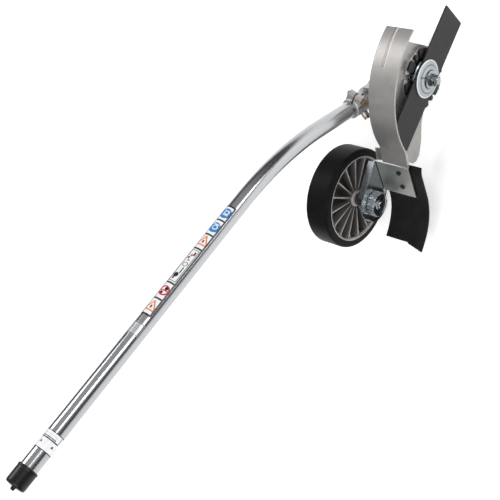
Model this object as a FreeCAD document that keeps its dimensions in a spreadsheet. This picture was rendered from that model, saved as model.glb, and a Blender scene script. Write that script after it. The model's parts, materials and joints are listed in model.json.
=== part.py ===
import FreeCAD, Part
import math
import os
import Sketcher

# Curved-shaft lawn edger attachment.
# Row frame: +X forward, +Y left, +Z up, millimetres.
# Origin: the middle of the blade on the blade spindle.  The spindle runs along Y and
# its nut faces -Y.  The wheel is on the +Y side, the drive tube rises to the rear.

V = FreeCAD.Vector
doc = FreeCAD.newDocument("edger_attachment")
sheet = doc.addObject("Spreadsheet::Sheet", "Size")
XY, XZ, YZ = "XY_Plane", "XZ_Plane", "YZ_Plane"
row_count = [0]


class Dim:
    """A number that remembers the spreadsheet expression it came from."""

    def __init__(self, num, text):
        self.num = float(num)
        self.text = text

    def _join(self, other, sign, num):
        return Dim(num, "(%s %s %s)" % (self.text, sign, text_of(other)))

    def __add__(self, other):
        return self._join(other, "+", self.num + num_of(other))

    def __sub__(self, other):
        return self._join(other, "-", self.num - num_of(other))

    def __mul__(self, other):
        return self._join(other, "*", self.num * num_of(other))

    def __truediv__(self, other):
        return self._join(other, "/", self.num / num_of(other))

    def __neg__(self):
        return Dim(-self.num, "(0 - %s)" % self.text)

    __radd__ = __add__

    def __rmul__(self, other):
        return self.__mul__(other)

    def __rsub__(self, other):
        return Dim(num_of(other) - self.num, "(%s - %s)" % (text_of(other), self.text))


def num_of(value):
    return value.num if isinstance(value, Dim) else float(value)


def text_of(value):
    return value.text if isinstance(value, Dim) else repr(float(value))


def size(alias, number, note):
    """Writes one driving dimension into the sheet and returns it."""
    row_count[0] += 1
    row = row_count[0]
    sheet.set("A%d" % row, note)
    sheet.set("B%d" % row, str(number))
    sheet.setAlias("B%d" % row, alias)
    return Dim(number, "Size.%s" % alias)


# ---------------------------------------------------------------- driving sizes
blade_long = size("blade_long", 200, "blade length")
blade_wide = size("blade_wide", 50, "blade width")
blade_thick = size("blade_thick", 2.5, "blade thickness")
blade_tilt = size("blade_tilt", -20.4, "blade angle at rest, degrees above forward")
register_rad = size("register_rad", 12.7, "blade centre hole radius")
clamp_rad = size("clamp_rad", 27, "outer clamp washer radius")
holder_rad = size("holder_rad", 28, "inner blade holder radius")
holder_deep = size("holder_deep", 11.75, "inner blade holder thickness")
spindle_rad = size("spindle_rad", 7.5, "spindle radius in the gear case")
thread_rad = size("thread_rad", 5, "spindle thread radius")
tube_rad = size("tube_rad", 11.1, "drive tube outer radius")
tube_wall = size("tube_wall", 1.5, "drive tube wall")
tube_plane = size("tube_plane", 37, "drive tube axis, inboard of the blade")
tube_rise = size("tube_rise", 117.3, "drive tube heading at the gear case, degrees")
tube_start = size("tube_start", 64, "tube seat end, from the spindle axis")
bend_from = size("bend_from", 191, "start of the bend, from the spindle axis")
bend_rad = size("bend_rad", 431, "bend radius of the tube centre line")
bend_turn = size("bend_turn", 20.7, "bend angle, degrees")
tube_tail = size("tube_tail", 426, "straight run behind the bend")
rim_rad = size("rim_rad", 118, "guard rim outer radius")
rim_thick = size("rim_thick", 2, "guard sheet thickness")
rim_in = size("rim_in", 12, "guard rim inboard edge, from the blade")
rim_out = size("rim_out", 30, "guard rim outboard edge, from the blade")
wheel_x = size("wheel_x", -183, "wheel axle, forward")
wheel_z = size("wheel_z", 30, "wheel axle, up")
wheel_rad = size("wheel_rad", 73, "tyre radius")
wheel_face = size("wheel_face", 50, "wheel face, inboard of the blade")
wheel_wide = size("wheel_wide", 38, "tyre width")
ring_rad = size("ring_rad", 62.5, "wheel rim ring radius")
axle_rad = size("axle_rad", 5, "axle bolt radius")
pivot_x = size("pivot_x", -138, "wheel arm pivot, forward")
pivot_z = size("pivot_z", 20, "wheel arm pivot, up")
case_rad = size("case_rad", 28, "gear case barrel radius")
neck_rad = size("neck_rad", 19, "gear case neck radius")
flange_rad = size("flange_rad", 43, "guard flange radius")
doc.recompute()

# ---------------------------------------------------------------- frames
# side frame: local x forward, y up, z outboard (towards the nut)
SIDE = FreeCAD.Rotation(V(1, 0, 0), 90)
# drive frame: origin where the tube axis meets the spindle axis, local x along the
# tube, z outboard
DRIVE = SIDE.multiply(FreeCAD.Rotation(V(0, 0, 1), tube_rise.num))


def body(name, origin=(0, 0, 0), turn=SIDE, spin=0):
    """A PartDesign body whose Label names its file."""
    new = doc.addObject("PartDesign::Body", name)
    new.Label = name
    new.Placement = FreeCAD.Placement(V(*origin), turn.multiply(FreeCAD.Rotation(V(0, 0, 1), spin)))
    return new


def drive_body(name):
    """A body in the drive frame."""
    return body(name, (0, tube_plane.num, 0), DRIVE)


def wheel_body(name):
    """A body on the wheel axle, local z outboard, zero at the blade's plane."""
    return body(name, (wheel_x.num, 0, wheel_z.num))


def empty_sketch(owner, name, role, shift=0, about=(0, 0, 1), turn=0):
    """A sketch on one of the body's origin planes, shifted along its normal."""
    new = owner.newObject("Sketcher::SketchObject", name)
    plane = [p for p in owner.Origin.OriginFeatures if p.Role == role][0]
    new.AttachmentSupport = [(plane, "")]
    new.MapMode = "FlatFace"
    offset = FreeCAD.Placement(V(0, 0, num_of(shift)), FreeCAD.Rotation(V(*about), turn))
    new.AttachmentOffset = offset
    if isinstance(shift, Dim):
        new.setExpression("AttachmentOffset.Base.z", shift.text)
    return new


def hold(sketch, kind, geo, pos, value):
    """Fixes one coordinate of a point, from the sheet where the value is a Dim."""
    index = sketch.addConstraint(Sketcher.Constraint(kind, geo, pos, num_of(value)))
    if isinstance(value, Dim):
        label = "c%d" % index
        sketch.renameConstraint(index, label)
        sketch.setExpression("Constraints.%s" % label, value.text)


def add_loop(sketch, points):
    """A closed polygon; every corner is fixed in both directions."""
    first = sketch.GeometryCount
    flat = [V(num_of(px), num_of(py), 0) for px, py in points]
    count = len(flat)
    for i in range(count):
        sketch.addGeometry(Part.LineSegment(flat[i], flat[(i + 1) % count]), False)
    for i in range(count):
        nxt = first + (i + 1) % count
        sketch.addConstraint(Sketcher.Constraint("Coincident", first + i, 2, nxt, 1))
    for i, (px, py) in enumerate(points):
        hold(sketch, "DistanceX", first + i, 1, px)
        hold(sketch, "DistanceY", first + i, 1, py)


def add_circle(sketch, cx, cy, radius):
    """A circle fixed in place, with its radius from the sheet."""
    geo = sketch.GeometryCount
    sketch.addGeometry(Part.Circle(V(num_of(cx), num_of(cy), 0), V(0, 0, 1), num_of(radius)), False)
    hold(sketch, "DistanceX", geo, 3, cx)
    hold(sketch, "DistanceY", geo, 3, cy)
    index = sketch.addConstraint(Sketcher.Constraint("Radius", geo, num_of(radius)))
    if isinstance(radius, Dim):
        label = "c%d" % index
        sketch.renameConstraint(index, label)
        sketch.setExpression("Constraints.%s" % label, radius.text)


def outline(owner, name, role, shapes, shift=0, about=(0, 0, 1), turn=0):
    """A sketch of circles (3 values) and polygons (list of pairs)."""
    new = empty_sketch(owner, name, role, shift, about, turn)
    for shape in shapes:
        if len(shape) == 3 and not isinstance(shape[0], tuple):
            add_circle(new, *shape)
        else:
            add_loop(new, shape)
    return new


def pad(owner, name, sketch, length, middle=False, back=False):
    """Adds the sketch as a slab of the given length."""
    new = owner.newObject("PartDesign::Pad", name)
    new.Profile = sketch
    new.Length = num_of(length)
    if isinstance(length, Dim):
        new.setExpression("Length", length.text)
    new.SideType = "Symmetric" if middle else "One side"
    new.Reversed = back
    doc.recompute()
    return new


def cut(owner, name, sketch, length, middle=False, back=False):
    """Removes the sketch as a slab and checks that it took something away."""
    before = owner.Shape.Volume
    new = owner.newObject("PartDesign::Pocket", name)
    new.Profile = sketch
    new.Length = num_of(length)
    if isinstance(length, Dim):
        new.setExpression("Length", length.text)
    new.SideType = "Symmetric" if middle else "One side"
    new.Reversed = back
    doc.recompute()
    if not owner.Shape.Volume < before - 1e-6:
        raise ValueError("%s cut nothing" % name)
    return new


def turned(owner, name, sketch, axis="V_Axis", angle=360.0, kind="PartDesign::Revolution"):
    """Turns the sketch about one of its own axes."""
    new = owner.newObject(kind, name)
    new.Profile = sketch
    new.ReferenceAxis = (sketch, [axis])
    new.Angle = angle
    doc.recompute()
    return new


def pattern(owner, name, feature, count, axis_role="Z_Axis"):
    """Repeats a feature round the body's own axis."""
    new = owner.newObject("PartDesign::PolarPattern", name)
    new.Originals = [feature]
    axis = [p for p in owner.Origin.OriginFeatures if p.Role == axis_role][0]
    new.Axis = (axis, [""])
    new.Angle = 360
    new.Occurrences = count
    owner.Tip = new
    doc.recompute()
    return new


def lathe(owner, profile, axis="V_Axis", role=XZ):
    """A turned piece: the profile is (radius, along) pairs about the body's z axis."""
    section = outline(owner, owner.Label + "_section", role, [profile])
    return turned(owner, owner.Label + "_turned", section, axis)


def ring_profile(r_in, r_out, low, high):
    return [(r_in, low), (r_out, low), (r_out, high), (r_in, high)]


def ring_part(owner, r_in, r_out, low, high):
    """A plain ring about the body's z axis."""
    return lathe(owner, ring_profile(r_in, r_out, low, high))


def drive_ring(owner, r_in, r_out, low, high):
    """A plain ring about the drive frame's x axis."""
    section = outline(owner, owner.Label + "_section", XY,
                      [[(low, r_in), (high, r_in), (high, r_out), (low, r_out)]])
    return turned(owner, owner.Label + "_turned", section, "H_Axis")


def hexagon(flats, cx=0.0, cy=0.0, start=0.0):
    """Corners of a hexagon by its width across flats."""
    radius = flats / math.sqrt(3.0)
    return [(cx + radius * math.cos(math.radians(start + 60 * i)),
             cy + radius * math.sin(math.radians(start + 60 * i))) for i in range(6)]


def arc_points(radius, first, last, count, cx=0.0, cy=0.0):
    """Points along an arc, angles in degrees."""
    step = (last - first) / (count - 1)
    return [(cx + radius * math.cos(math.radians(first + step * i)),
             cy + radius * math.sin(math.radians(first + step * i))) for i in range(count)]


def lift(sketch, about, angle, distance):
    """Turns a sketch about the body's x axis and slides it along its new normal."""
    spin = FreeCAD.Rotation(V(*about), angle)
    sketch.AttachmentOffset = FreeCAD.Placement(spin.multVec(V(0, 0, distance)), spin)


def radial(sketch, turn, distance):
    """Puts an XZ sketch across the direction at the given angle round the x axis."""
    lift(sketch, (1, 0, 0), turn + 180, distance)


# ---------------------------------------------------------------- blade group
half = blade_thick / 2

blade = body("blade", spin=blade_tilt.num)
blade_face = outline(blade, "blade_face", XY, [
    [(-blade_long / 2, -blade_wide / 2), (blade_long / 2, -blade_wide / 2),
     (blade_long / 2, blade_wide / 2), (-blade_long / 2, blade_wide / 2)],
    (0, 0, register_rad)])
pad(blade, "blade_plate", blade_face, blade_thick, middle=True)

lock_turn = 95.0
lock_rad = 3.0
lock_at = 6.9
holder = body("blade_holder", spin=lock_turn)
holder_back = -(half + holder_deep)
lathe(holder, [
    (spindle_rad, holder_back), (holder_rad - 1.5, holder_back), (holder_rad, holder_back + 1.5),
    (holder_rad, -half - 1), (holder_rad - 1, -half), (register_rad, -half), (register_rad, 1.0),
    (spindle_rad, 1.0)])
lock_hole = outline(holder, "lock_hole_mark", YZ, [(0, -lock_at, lock_rad)], shift=holder_rad + 1)
cut(holder, "lock_hole", lock_hole, 13)

outer_washer = body("clamp_washer")
lathe(outer_washer, [
    (thread_rad + 0.1, 3.2), (11, 3.2), (20, half), (clamp_rad, half), (clamp_rad, half + 1.3),
    (23, 4.0), (14, 6.4), (thread_rad + 0.1, 6.4)])

collar = body("nut_collar")
lathe(collar, [
    (thread_rad + 0.1, 6.4), (12.5, 6.4), (12.5, 8.4), (11, 9.4), (thread_rad + 0.1, 9.4)])

nut_low = 9.4
nut_top = 18.4
castle_nut = body("castle_nut", spin=-90)
nut_plan = outline(castle_nut, "nut_plan", XY,
                   [hexagon(17.0), (0, 0, thread_rad + 0.05)], shift=nut_low)
pad(castle_nut, "nut_hex", nut_plan, 5.6)
crown_plan = outline(castle_nut, "crown_plan", XY,
                     [(0, 0, 7.6), (0, 0, thread_rad + 0.05)], shift=nut_low + 5.6)
pad(castle_nut, "nut_crown", crown_plan, nut_top - nut_low - 5.6)
slot_plan = outline(castle_nut, "slot_plan", XY,
                    [[(3.0, -1.4), (9.0, -1.4), (9.0, 1.4), (3.0, 1.4)]], shift=nut_top)
slot = cut(castle_nut, "nut_slot", slot_plan, 3.0)
pattern(castle_nut, "nut_slots", slot, 6)

cotter_at = 16.9
spindle_tip = 20.5
spindle_back = -61.0
shaft = body("spindle", spin=-90)
lathe(shaft, [
    (0, spindle_back), (5, spindle_back), (5, -53), (spindle_rad, -53), (spindle_rad, 1.0),
    (thread_rad, 1.0), (thread_rad, spindle_tip - 1), (thread_rad - 1, spindle_tip), (0, spindle_tip)])
cotter_hole = outline(shaft, "cotter_hole_mark", YZ, [(0, cotter_at, 1.3)])
cut(shaft, "cotter_hole", cotter_hole, 30, middle=True)

cotter = body("cotter_pin", spin=-90)
stem = outline(cotter, "stem_mark", YZ, [(0, cotter_at, 1.1)], shift=-11)
pad(cotter, "cotter_stem", stem, 21)
tail = outline(cotter, "tail_mark", XZ, [(9.2, cotter_at, 0.8)])
pad(cotter, "cotter_tail", tail, 12)
eye = outline(cotter, "eye_mark", XZ, [(-13.2, cotter_at, 2.6), (-13.2, cotter_at, 1.2)])
pad(cotter, "cotter_eye", eye, 1.8, middle=True)


# ---------------------------------------------------------------- bevel gears
gear_teeth, pinion_teeth = 20, 14
module = 1.75
gear_pitch = module * gear_teeth / 2
pinion_pitch = module * pinion_teeth / 2
cone_long = math.hypot(gear_pitch, pinion_pitch)
face_wide = 8.0
inner_scale = (cone_long - face_wide) / cone_long


def tooth_ring(teeth, own_pitch, other_pitch, offset, scale):
    """Straight bevel teeth in the plane at the given share of the cone's length."""
    pitch_angle = math.atan2(own_pitch, other_pitch)
    tip = other_pitch * math.tan(pitch_angle + math.atan2(module, cone_long)) * scale
    root = other_pitch * math.tan(pitch_angle - math.atan2(1.25 * module, cone_long)) * scale
    step = 360.0 / teeth
    corners = []
    for i in range(teeth):
        middle = offset + i * step
        for radius, share in ((root, -0.36), (tip, -0.11), (tip, 0.11), (root, 0.36)):
            angle = math.radians(middle + share * step)
            corners.append((radius * math.cos(angle), radius * math.sin(angle)))
    return corners


def free_loop(owner, name, role, points, shift, turn=0.0):
    """A polygon sketch with its corners joined."""
    new = empty_sketch(owner, name, role, shift)
    count = len(points)
    flat = [V(px, py, 0) for px, py in points]
    for i in range(count):
        new.addGeometry(Part.LineSegment(flat[i], flat[(i + 1) % count]), False)
    for i in range(count):
        new.addConstraint(Sketcher.Constraint("Coincident", i, 2, (i + 1) % count, 1))
    return new


def bevel(owner, role, teeth, own_pitch, other_pitch, offset, sign):
    """The toothed cone, lofted from its outer end to its inner end."""
    outer = free_loop(owner, owner.Label + "_outer", role,
                      tooth_ring(teeth, own_pitch, other_pitch, offset, 1.0), sign * other_pitch)
    inner = free_loop(owner, owner.Label + "_inner", role,
                      tooth_ring(teeth, own_pitch, other_pitch, offset, inner_scale),
                      sign * other_pitch * inner_scale)
    loft = owner.newObject("PartDesign::AdditiveLoft", owner.Label + "_teeth")
    loft.Profile = outer
    loft.Sections = [inner]
    loft.Ruled = True
    doc.recompute()
    return loft


gear = drive_body("bevel_gear")
bevel(gear, XY, gear_teeth, gear_pitch, pinion_pitch, 0.0, -1)
gear_hub = outline(gear, "gear_hub_plan", XY, [(0, 0, 12)], shift=-pinion_pitch)
pad(gear, "gear_hub", gear_hub, 3.6, back=True)
gear_bore = outline(gear, "gear_bore_plan", XY, [(0, 0, spindle_rad)])
cut(gear, "gear_bore", gear_bore, 60, middle=True)

pinion = drive_body("pinion_shaft")
bevel(pinion, YZ, pinion_teeth, pinion_pitch, gear_pitch, -90.0 + 180.0 / pinion_teeth, 1)
pinion_hub = outline(pinion, "pinion_hub_plan", YZ, [(0, 0, 8.5)], shift=gear_pitch)
pad(pinion, "pinion_hub", pinion_hub, 6.3)
pinion_stem = outline(pinion, "pinion_stem_plan", YZ, [(0, 0, 6)], shift=gear_pitch)
pad(pinion, "pinion_stem", pinion_stem, 38)
socket_half = 2.7
socket_plan = outline(pinion, "socket_plan", YZ, [
    [(-socket_half, -socket_half), (socket_half, -socket_half),
     (socket_half, socket_half), (-socket_half, socket_half)]], shift=gear_pitch + 38)
cut(pinion, "drive_socket", socket_plan, 12)

# ---------------------------------------------------------------- bearings and seal


def bearing(name, owner, place, bore, outer, low, high):
    """A shielded ball bearing, one closed ring with shallow shield faces."""
    step = 0.5
    race = 2.2
    inner_race = bore + race
    outer_race = outer - race
    profile = [(bore, low), (inner_race, low), (inner_race, low + step), (outer_race, low + step),
               (outer_race, low), (outer, low), (outer, high), (outer_race, high),
               (outer_race, high - step), (inner_race, high - step), (inner_race, high), (bore, high)]
    if place == "drive":
        profile = [(along, radius) for radius, along in profile]
        section = outline(owner, name + "_section", XY, [profile])
        return turned(owner, name + "_turned", section, "H_Axis")
    return lathe(owner, profile)


race_play = 0.03
front_outer = 14.0
back_outer = 13.0
bearing_front = body("spindle_bearing_front")
bearing("spindle_bearing_front", bearing_front, "spindle", spindle_rad + race_play, front_outer, -25, -19)
bearing_back = body("spindle_bearing_back")
bearing("spindle_bearing_back", bearing_back, "spindle", thread_rad + race_play, back_outer, -61, -53.2)
pinion_inner = drive_body("pinion_bearing_inner")
bearing("pinion_bearing_inner", pinion_inner, "drive", 6 + race_play, 14, 24, 32)
pinion_outer = drive_body("pinion_bearing_outer")
bearing("pinion_bearing_outer", pinion_outer, "drive", 6 + race_play, 14, 33, 41)

seal = body("shaft_seal")
ring_part(seal, spindle_rad + race_play, 15, -18.8, -16.2)

snap_ring = drive_body("pinion_snap_ring")
drive_ring(snap_ring, 10.5, 14, 41.2, 42.6)

# ---------------------------------------------------------------- gear case
case = drive_body("gear_case")
case_outer = outline(case, "case_outer", XZ, [[
    (0, -18), (case_rad, -18), (case_rad, 12), (33, 20), (flange_rad, 20), (flange_rad, 25), (0, 25)]])
turned(case, "case_barrel", case_outer)
neck_end = 126.0
collar_rad = 13.8
neck_outer = outline(case, "neck_outer", XY, [[
    (12, 0), (neck_end, 0), (neck_end, collar_rad - 1), (neck_end - 1, collar_rad), (96, collar_rad),
    (88, 16.5), (70, 16.5), (64, neck_rad), (38, neck_rad), (24, 22), (12, 22)]])
turned(case, "case_neck", neck_outer, "H_Axis")
clamp_turn = 157.0
clamp_at = 119.5
clamp_off = 17.5
ear_plan = outline(case, "ear_plan", XY, [
    [(114, 8), (125, 8), (125, 20), (122.5, 22.5), (116.5, 22.5), (114, 20)]],
    about=(1, 0, 0), turn=clamp_turn)
pad(case, "clamp_ears", ear_plan, 22, middle=True)
boss_turn = 35.0
boss_at = 107.0
boss_plan = outline(case, "boss_plan", XZ, [(boss_at, 0, 5)])
radial(boss_plan, boss_turn, 10)
pad(case, "screw_boss", boss_plan, 9.5)
plug_turn = 166.0
plug_at = 92.0
plug_plan = outline(case, "plug_plan", XZ, [(plug_at, 0, 5.5)])
radial(plug_plan, plug_turn, 11.5)
pad(case, "plug_boss", plug_plan, 6)

case_hollow = outline(case, "case_hollow", XZ, [[
    (0, -26), (case_rad + 0.3, -26), (case_rad + 0.3, -18), (22.5, -18), (22.5, 4), (13, 11.8),
    (front_outer, 11.8), (front_outer, 18), (15, 18), (15, 21.2), (29.5, 21.2), (29.5, 25), (0, 25)]])
turned(case, "case_bore", case_hollow, kind="PartDesign::Groove")
neck_hollow = outline(case, "neck_hollow", XY, [[
    (8, 0), (neck_end, 0), (neck_end, tube_rad), (tube_start, tube_rad), (tube_start, 9), (43, 9), (43, 14),
    (24, 14), (24, 15.8), (8, 15.8)]])
turned(case, "neck_bore", neck_hollow, "H_Axis", kind="PartDesign::Groove")
slit_plan = outline(case, "slit_plan", XY, [[(100, 0), (127, 0), (127, 28), (100, 28)]],
                    about=(1, 0, 0), turn=clamp_turn)
cut(case, "clamp_slit", slit_plan, 2.4, middle=True)
clamp_hole = outline(case, "clamp_hole_plan", XY, [(clamp_at, clamp_off, 2.6)], about=(1, 0, 0), turn=clamp_turn)
cut(case, "clamp_hole", clamp_hole, 40, middle=True)
flange_bolts = 4
flange_bolt_at = 38.5
bolt_turn = 22.7
bolt_hole = outline(case, "flange_hole_plan", XY, [(flange_bolt_at, 0, 2.6)], shift=25, turn=bolt_turn)
flange_hole = cut(case, "flange_hole", bolt_hole, 5)
pattern(case, "flange_holes", flange_hole, flange_bolts)

cover_screw_at = 25.2
back_hole_plan = outline(case, "back_hole_plan", XY, [(cover_screw_at, 0, 1.6)], shift=-18,
                         turn=45)
back_hole = cut(case, "back_hole", back_hole_plan, 5.5, back=True)
pattern(case, "back_holes", back_hole, 4)

case_cover = drive_body("gear_cover")
lathe(case_cover, [
    (0, -27), (18.5, -27), (21.8, -25), (21.8, -21.5), (case_rad, -21.5), (case_rad, -18), (22.4, -18),
    (22.4, -16.4), (13, -16.4), (13, -24.1), (0, -24.1)])
cover_hole_plan = outline(case_cover, "cover_hole_plan", XY, [(cover_screw_at, 0, 1.6)], shift=-18,
                          turn=45)
cover_hole = cut(case_cover, "cover_hole", cover_hole_plan, 8, middle=True)
pattern(case_cover, "cover_holes", cover_hole, 4)


def bolt_ring(owner, spot, turn, count, section):
    """Like screws in a ring: each is turned about its own axis, then repeated."""
    owner.AllowCompound = True
    plan = outline(owner, owner.Label + "_section", XZ,
                   [[(spot + radius, along) for radius, along in section]], about=(0, 1, 0), turn=turn)
    middle = empty_sketch(owner, owner.Label + "_axis", XZ, 0, (0, 1, 0), turn)
    low = min(along for _, along in section)
    middle.addGeometry(Part.LineSegment(V(spot, low, 0), V(spot, low + 1, 0)), False)
    one = owner.newObject("PartDesign::Revolution", owner.Label + "_one")
    one.Profile = plan
    one.ReferenceAxis = (middle, ["Edge1"])
    one.Angle = 360
    doc.recompute()
    return pattern(owner, owner.Label + "_all", one, count)


cover_screws = drive_body("cover_screws")
bolt_ring(cover_screws, cover_screw_at, 45, 4, [
    (0, -24), (2.0, -24), (2.5, -23.4), (2.5, -21.5), (1.5, -21.5), (1.5, -13), (0, -13)])

plug = drive_body("grease_plug")
plug_hex = outline(plug, "plug_hex_plan", XZ, [hexagon(8.0, plug_at)])
radial(plug_hex, plug_turn, 17.5)
pad(plug, "plug_head", plug_hex, 2.6)

# ---------------------------------------------------------------- screws of the clamp
clamp_screw = drive_body("clamp_screw")
screw_head = outline(clamp_screw, "clamp_head_plan", XY, [(clamp_at, clamp_off, 4.4)])
lift(screw_head, (1, 0, 0), clamp_turn, -16)
pad(clamp_screw, "clamp_head", screw_head, 5)
screw_shank = outline(clamp_screw, "clamp_shank_plan", XY, [(clamp_at, clamp_off, 2.5)])
lift(screw_shank, (1, 0, 0), clamp_turn, -11.5)
pad(clamp_screw, "clamp_shank", screw_shank, 25)
key_plan = outline(clamp_screw, "clamp_key_plan", XY, [hexagon(4.2, clamp_at, clamp_off)])
lift(key_plan, (1, 0, 0), clamp_turn, -16)
cut(clamp_screw, "clamp_key", key_plan, 3, back=True)

locator = drive_body("locating_screw")
locator_plan = outline(locator, "locator_plan", XZ, [(boss_at, 0, 4.2)])
radial(locator_plan, boss_turn, 19.5)
pad(locator, "locator_head", locator_plan, 4)
locator_key = outline(locator, "locator_key_plan", XZ, [hexagon(3.8, boss_at, 0)])
radial(locator_key, boss_turn, 23.5)
cut(locator, "locator_key", locator_key, 2.5)

# ---------------------------------------------------------------- tube and drive line


def centre_line(owner, name, start, tail):
    """The line, arc and line that the tube and the drive line follow."""
    new = empty_sketch(owner, name, XY)
    turn = math.radians(bend_turn.num)
    corner = V(bend_from.num, 0, 0)
    middle = V(bend_from.num, bend_rad.num, 0)
    bend_end = middle + V(math.sin(turn), -math.cos(turn), 0) * bend_rad.num
    finish = bend_end + V(math.cos(turn), math.sin(turn), 0) * tail
    new.addGeometry(Part.LineSegment(V(start, 0, 0), corner), False)
    arc = Part.ArcOfCircle(Part.Circle(middle, V(0, 0, 1), bend_rad.num),
                           -math.pi / 2, -math.pi / 2 + turn)
    new.addGeometry(arc, False)
    new.addGeometry(Part.LineSegment(bend_end, finish), False)
    new.addConstraint(Sketcher.Constraint("Tangent", 0, 2, 1, 1))
    new.addConstraint(Sketcher.Constraint("Tangent", 1, 2, 2, 1))
    hold(new, "DistanceX", 0, 1, start)
    hold(new, "DistanceY", 0, 1, 0)
    hold(new, "DistanceX", 0, 2, bend_from)
    hold(new, "DistanceY", 0, 2, 0)
    index = new.addConstraint(Sketcher.Constraint("Radius", 1, bend_rad.num))
    new.renameConstraint(index, "bend")
    new.setExpression("Constraints.bend", bend_rad.text)
    return new


def swept(owner, start, tail, r_out, r_in=None):
    """A round bar or tube along the centre line."""
    path = centre_line(owner, owner.Label + "_path", start, tail)
    disc = outline(owner, owner.Label + "_disc", YZ, [(0, 0, r_out)], shift=start)
    new = owner.newObject("PartDesign::AdditivePipe", owner.Label + "_pipe")
    new.Profile = disc
    new.Spine = path
    doc.recompute()
    if r_in is not None:
        hole = outline(owner, owner.Label + "_hole", YZ, [(0, 0, r_in)], shift=start)
        inner = owner.newObject("PartDesign::SubtractivePipe", owner.Label + "_bore")
        inner.Profile = hole
        inner.Spine = path
        doc.recompute()
    return new


tail_run = tube_tail.num
tube = drive_body("drive_tube")
swept(tube, tube_start.num + 0.5, tail_run, tube_rad, tube_rad - tube_wall)
liner = drive_body("cable_liner")
swept(liner, 66, tail_run - 48, 5.4, 4.4)
cable = drive_body("drive_cable")
swept(cable, 56, tail_run - 42, 3.2)

# the far end of the tube has its own frame, local z out of the tube
turn_rad = math.radians(bend_turn.num)
end_local = (V(bend_from.num + bend_rad.num * math.sin(turn_rad),
               bend_rad.num * (1 - math.cos(turn_rad)), 0)
             + V(math.cos(turn_rad), math.sin(turn_rad), 0) * tail_run)
end_spot = V(0, tube_plane.num, 0) + DRIVE.multVec(end_local)
end_turn = DRIVE.multiply(FreeCAD.Rotation(V(0, 0, 1), bend_turn.num)).multiply(
    FreeCAD.Rotation(V(0, 1, 0), 90))
end_axis = end_turn.multVec(V(0, 0, 1))


def end_body(name):
    """A body at the tube's far end, local z out of the tube, zero at its end face."""
    new = doc.addObject("PartDesign::Body", name)
    new.Label = name
    new.Placement = FreeCAD.Placement(end_spot, end_turn)
    return new


end_bush = end_body("drive_end_bush")
ring_part(end_bush, 4.55, tube_rad - tube_wall, -40, -12)
drive_end = end_body("drive_end")
lathe(drive_end, [(0, -41.5), (6.5, -41.5), (6.5, -40.3), (4.5, -40.3), (4.5, -10), (0, -10)])
square_half = 2.6
square_plan = outline(drive_end, "square_plan", XY, [
    [(-square_half, -square_half), (square_half, -square_half),
     (square_half, square_half), (-square_half, square_half)]], shift=-10)
pad(drive_end, "drive_square", square_plan, 9)

cap = end_body("end_cap")
cap_fit = 0.2
lathe(cap, [
    (0, 1), (tube_rad + cap_fit, 1), (tube_rad + cap_fit, -20), (13, -20), (13, -17.5), (12.6, -17),
    (12.6, 2.5), (11.4, 4), (2.8, 4), (2.8, 7.5), (2, 8.5), (0, 8.5)])

# ---------------------------------------------------------------- labels on the tube


def wrap(owner, name, centre, reach, low, high, thick=0.15):
    """A thin printed film round part of the tube, given in the tube end's frame."""
    under = tube_rad.num + 0.02
    section = empty_sketch(owner, name + "_section", XZ, 0, (0, 1, 0), centre - reach / 2)
    add_loop(section, [(under, low), (under + thick, low), (under + thick, high), (under, high)])
    return turned(owner, name + "_film", section, "V_Axis", reach)


label_long = end_body("warning_label")
wrap(label_long, "warning", 262, 84, -403, -231)
label_band = end_body("end_label")
wrap(label_band, "band", 235, 170, -66, -42)
label_small = end_body("rating_label")
wrap(label_small, "rating", 255, 90, -220, -203)

# ---------------------------------------------------------------- guard
guard = body("guard")
rim_from = 61.0
rim_to = 149.0
rim_section = outline(guard, "rim_section", XZ,
                      [[(rim_rad - rim_thick, -rim_in), (rim_rad, -rim_in), (rim_rad, rim_out),
                        (rim_rad - rim_thick, rim_out)]], about=(0, 1, 0), turn=rim_from)
turned(guard, "rim_band", rim_section, angle=rim_to - rim_from)
plate_mid = rim_rad.num - 1.0
plate_plan = outline(guard, "plate_plan", XY, [
    arc_points(plate_mid, rim_from, rim_to, 17)
    + [(-98.5, 57.0), (-117.0, 42.0), (-122, 37), (-123, 20), (-119, -15), (-121, -29), (-117.5, -37),
       (-108, -41), (-86, -38), (-62, -29), (-36, -27), (-25, -36), (-11.4, -42.5), (3.8, -44),
       (18.6, -40.5), (31.5, -32), (40.2, -18.6), (43.8, -3.8), (44, 11), (44, 46)]],
    shift=-rim_in)
pad(guard, "guard_plate", plate_plan, rim_thick)
flare_plan = outline(guard, "flare_plan", XY, [[
    (-98.1, 63.7), (-99.4, 59.75), (-119.8, 45.4), (-121.0, 47.0), (-101.6, 61.3)]], shift=-rim_in)
pad(guard, "flare", flare_plan, rim_in + rim_out)
bead_section = outline(guard, "bead_section", XZ,
                       [[(rim_rad - 0.6, 3.2), (rim_rad + 0.9, 4.0), (rim_rad + 0.9, 6.0),
                         (rim_rad - 0.6, 6.8)]], about=(0, 1, 0), turn=rim_from)
turned(guard, "bead", bead_section, angle=27)
spigot = outline(guard, "guard_spigot_hole", XY, [(0, 0, 31)], shift=-rim_in)
cut(guard, "guard_centre", spigot, 6, middle=True)
guard_hole_plan = outline(guard, "guard_hole_plan", XY, [(flange_bolt_at, 0, 2.6)], shift=-rim_in,
                          turn=bolt_turn + tube_rise.num)
guard_hole = cut(guard, "guard_hole", guard_hole_plan, 6, middle=True)
pattern(guard, "guard_holes", guard_hole, flange_bolts)

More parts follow.
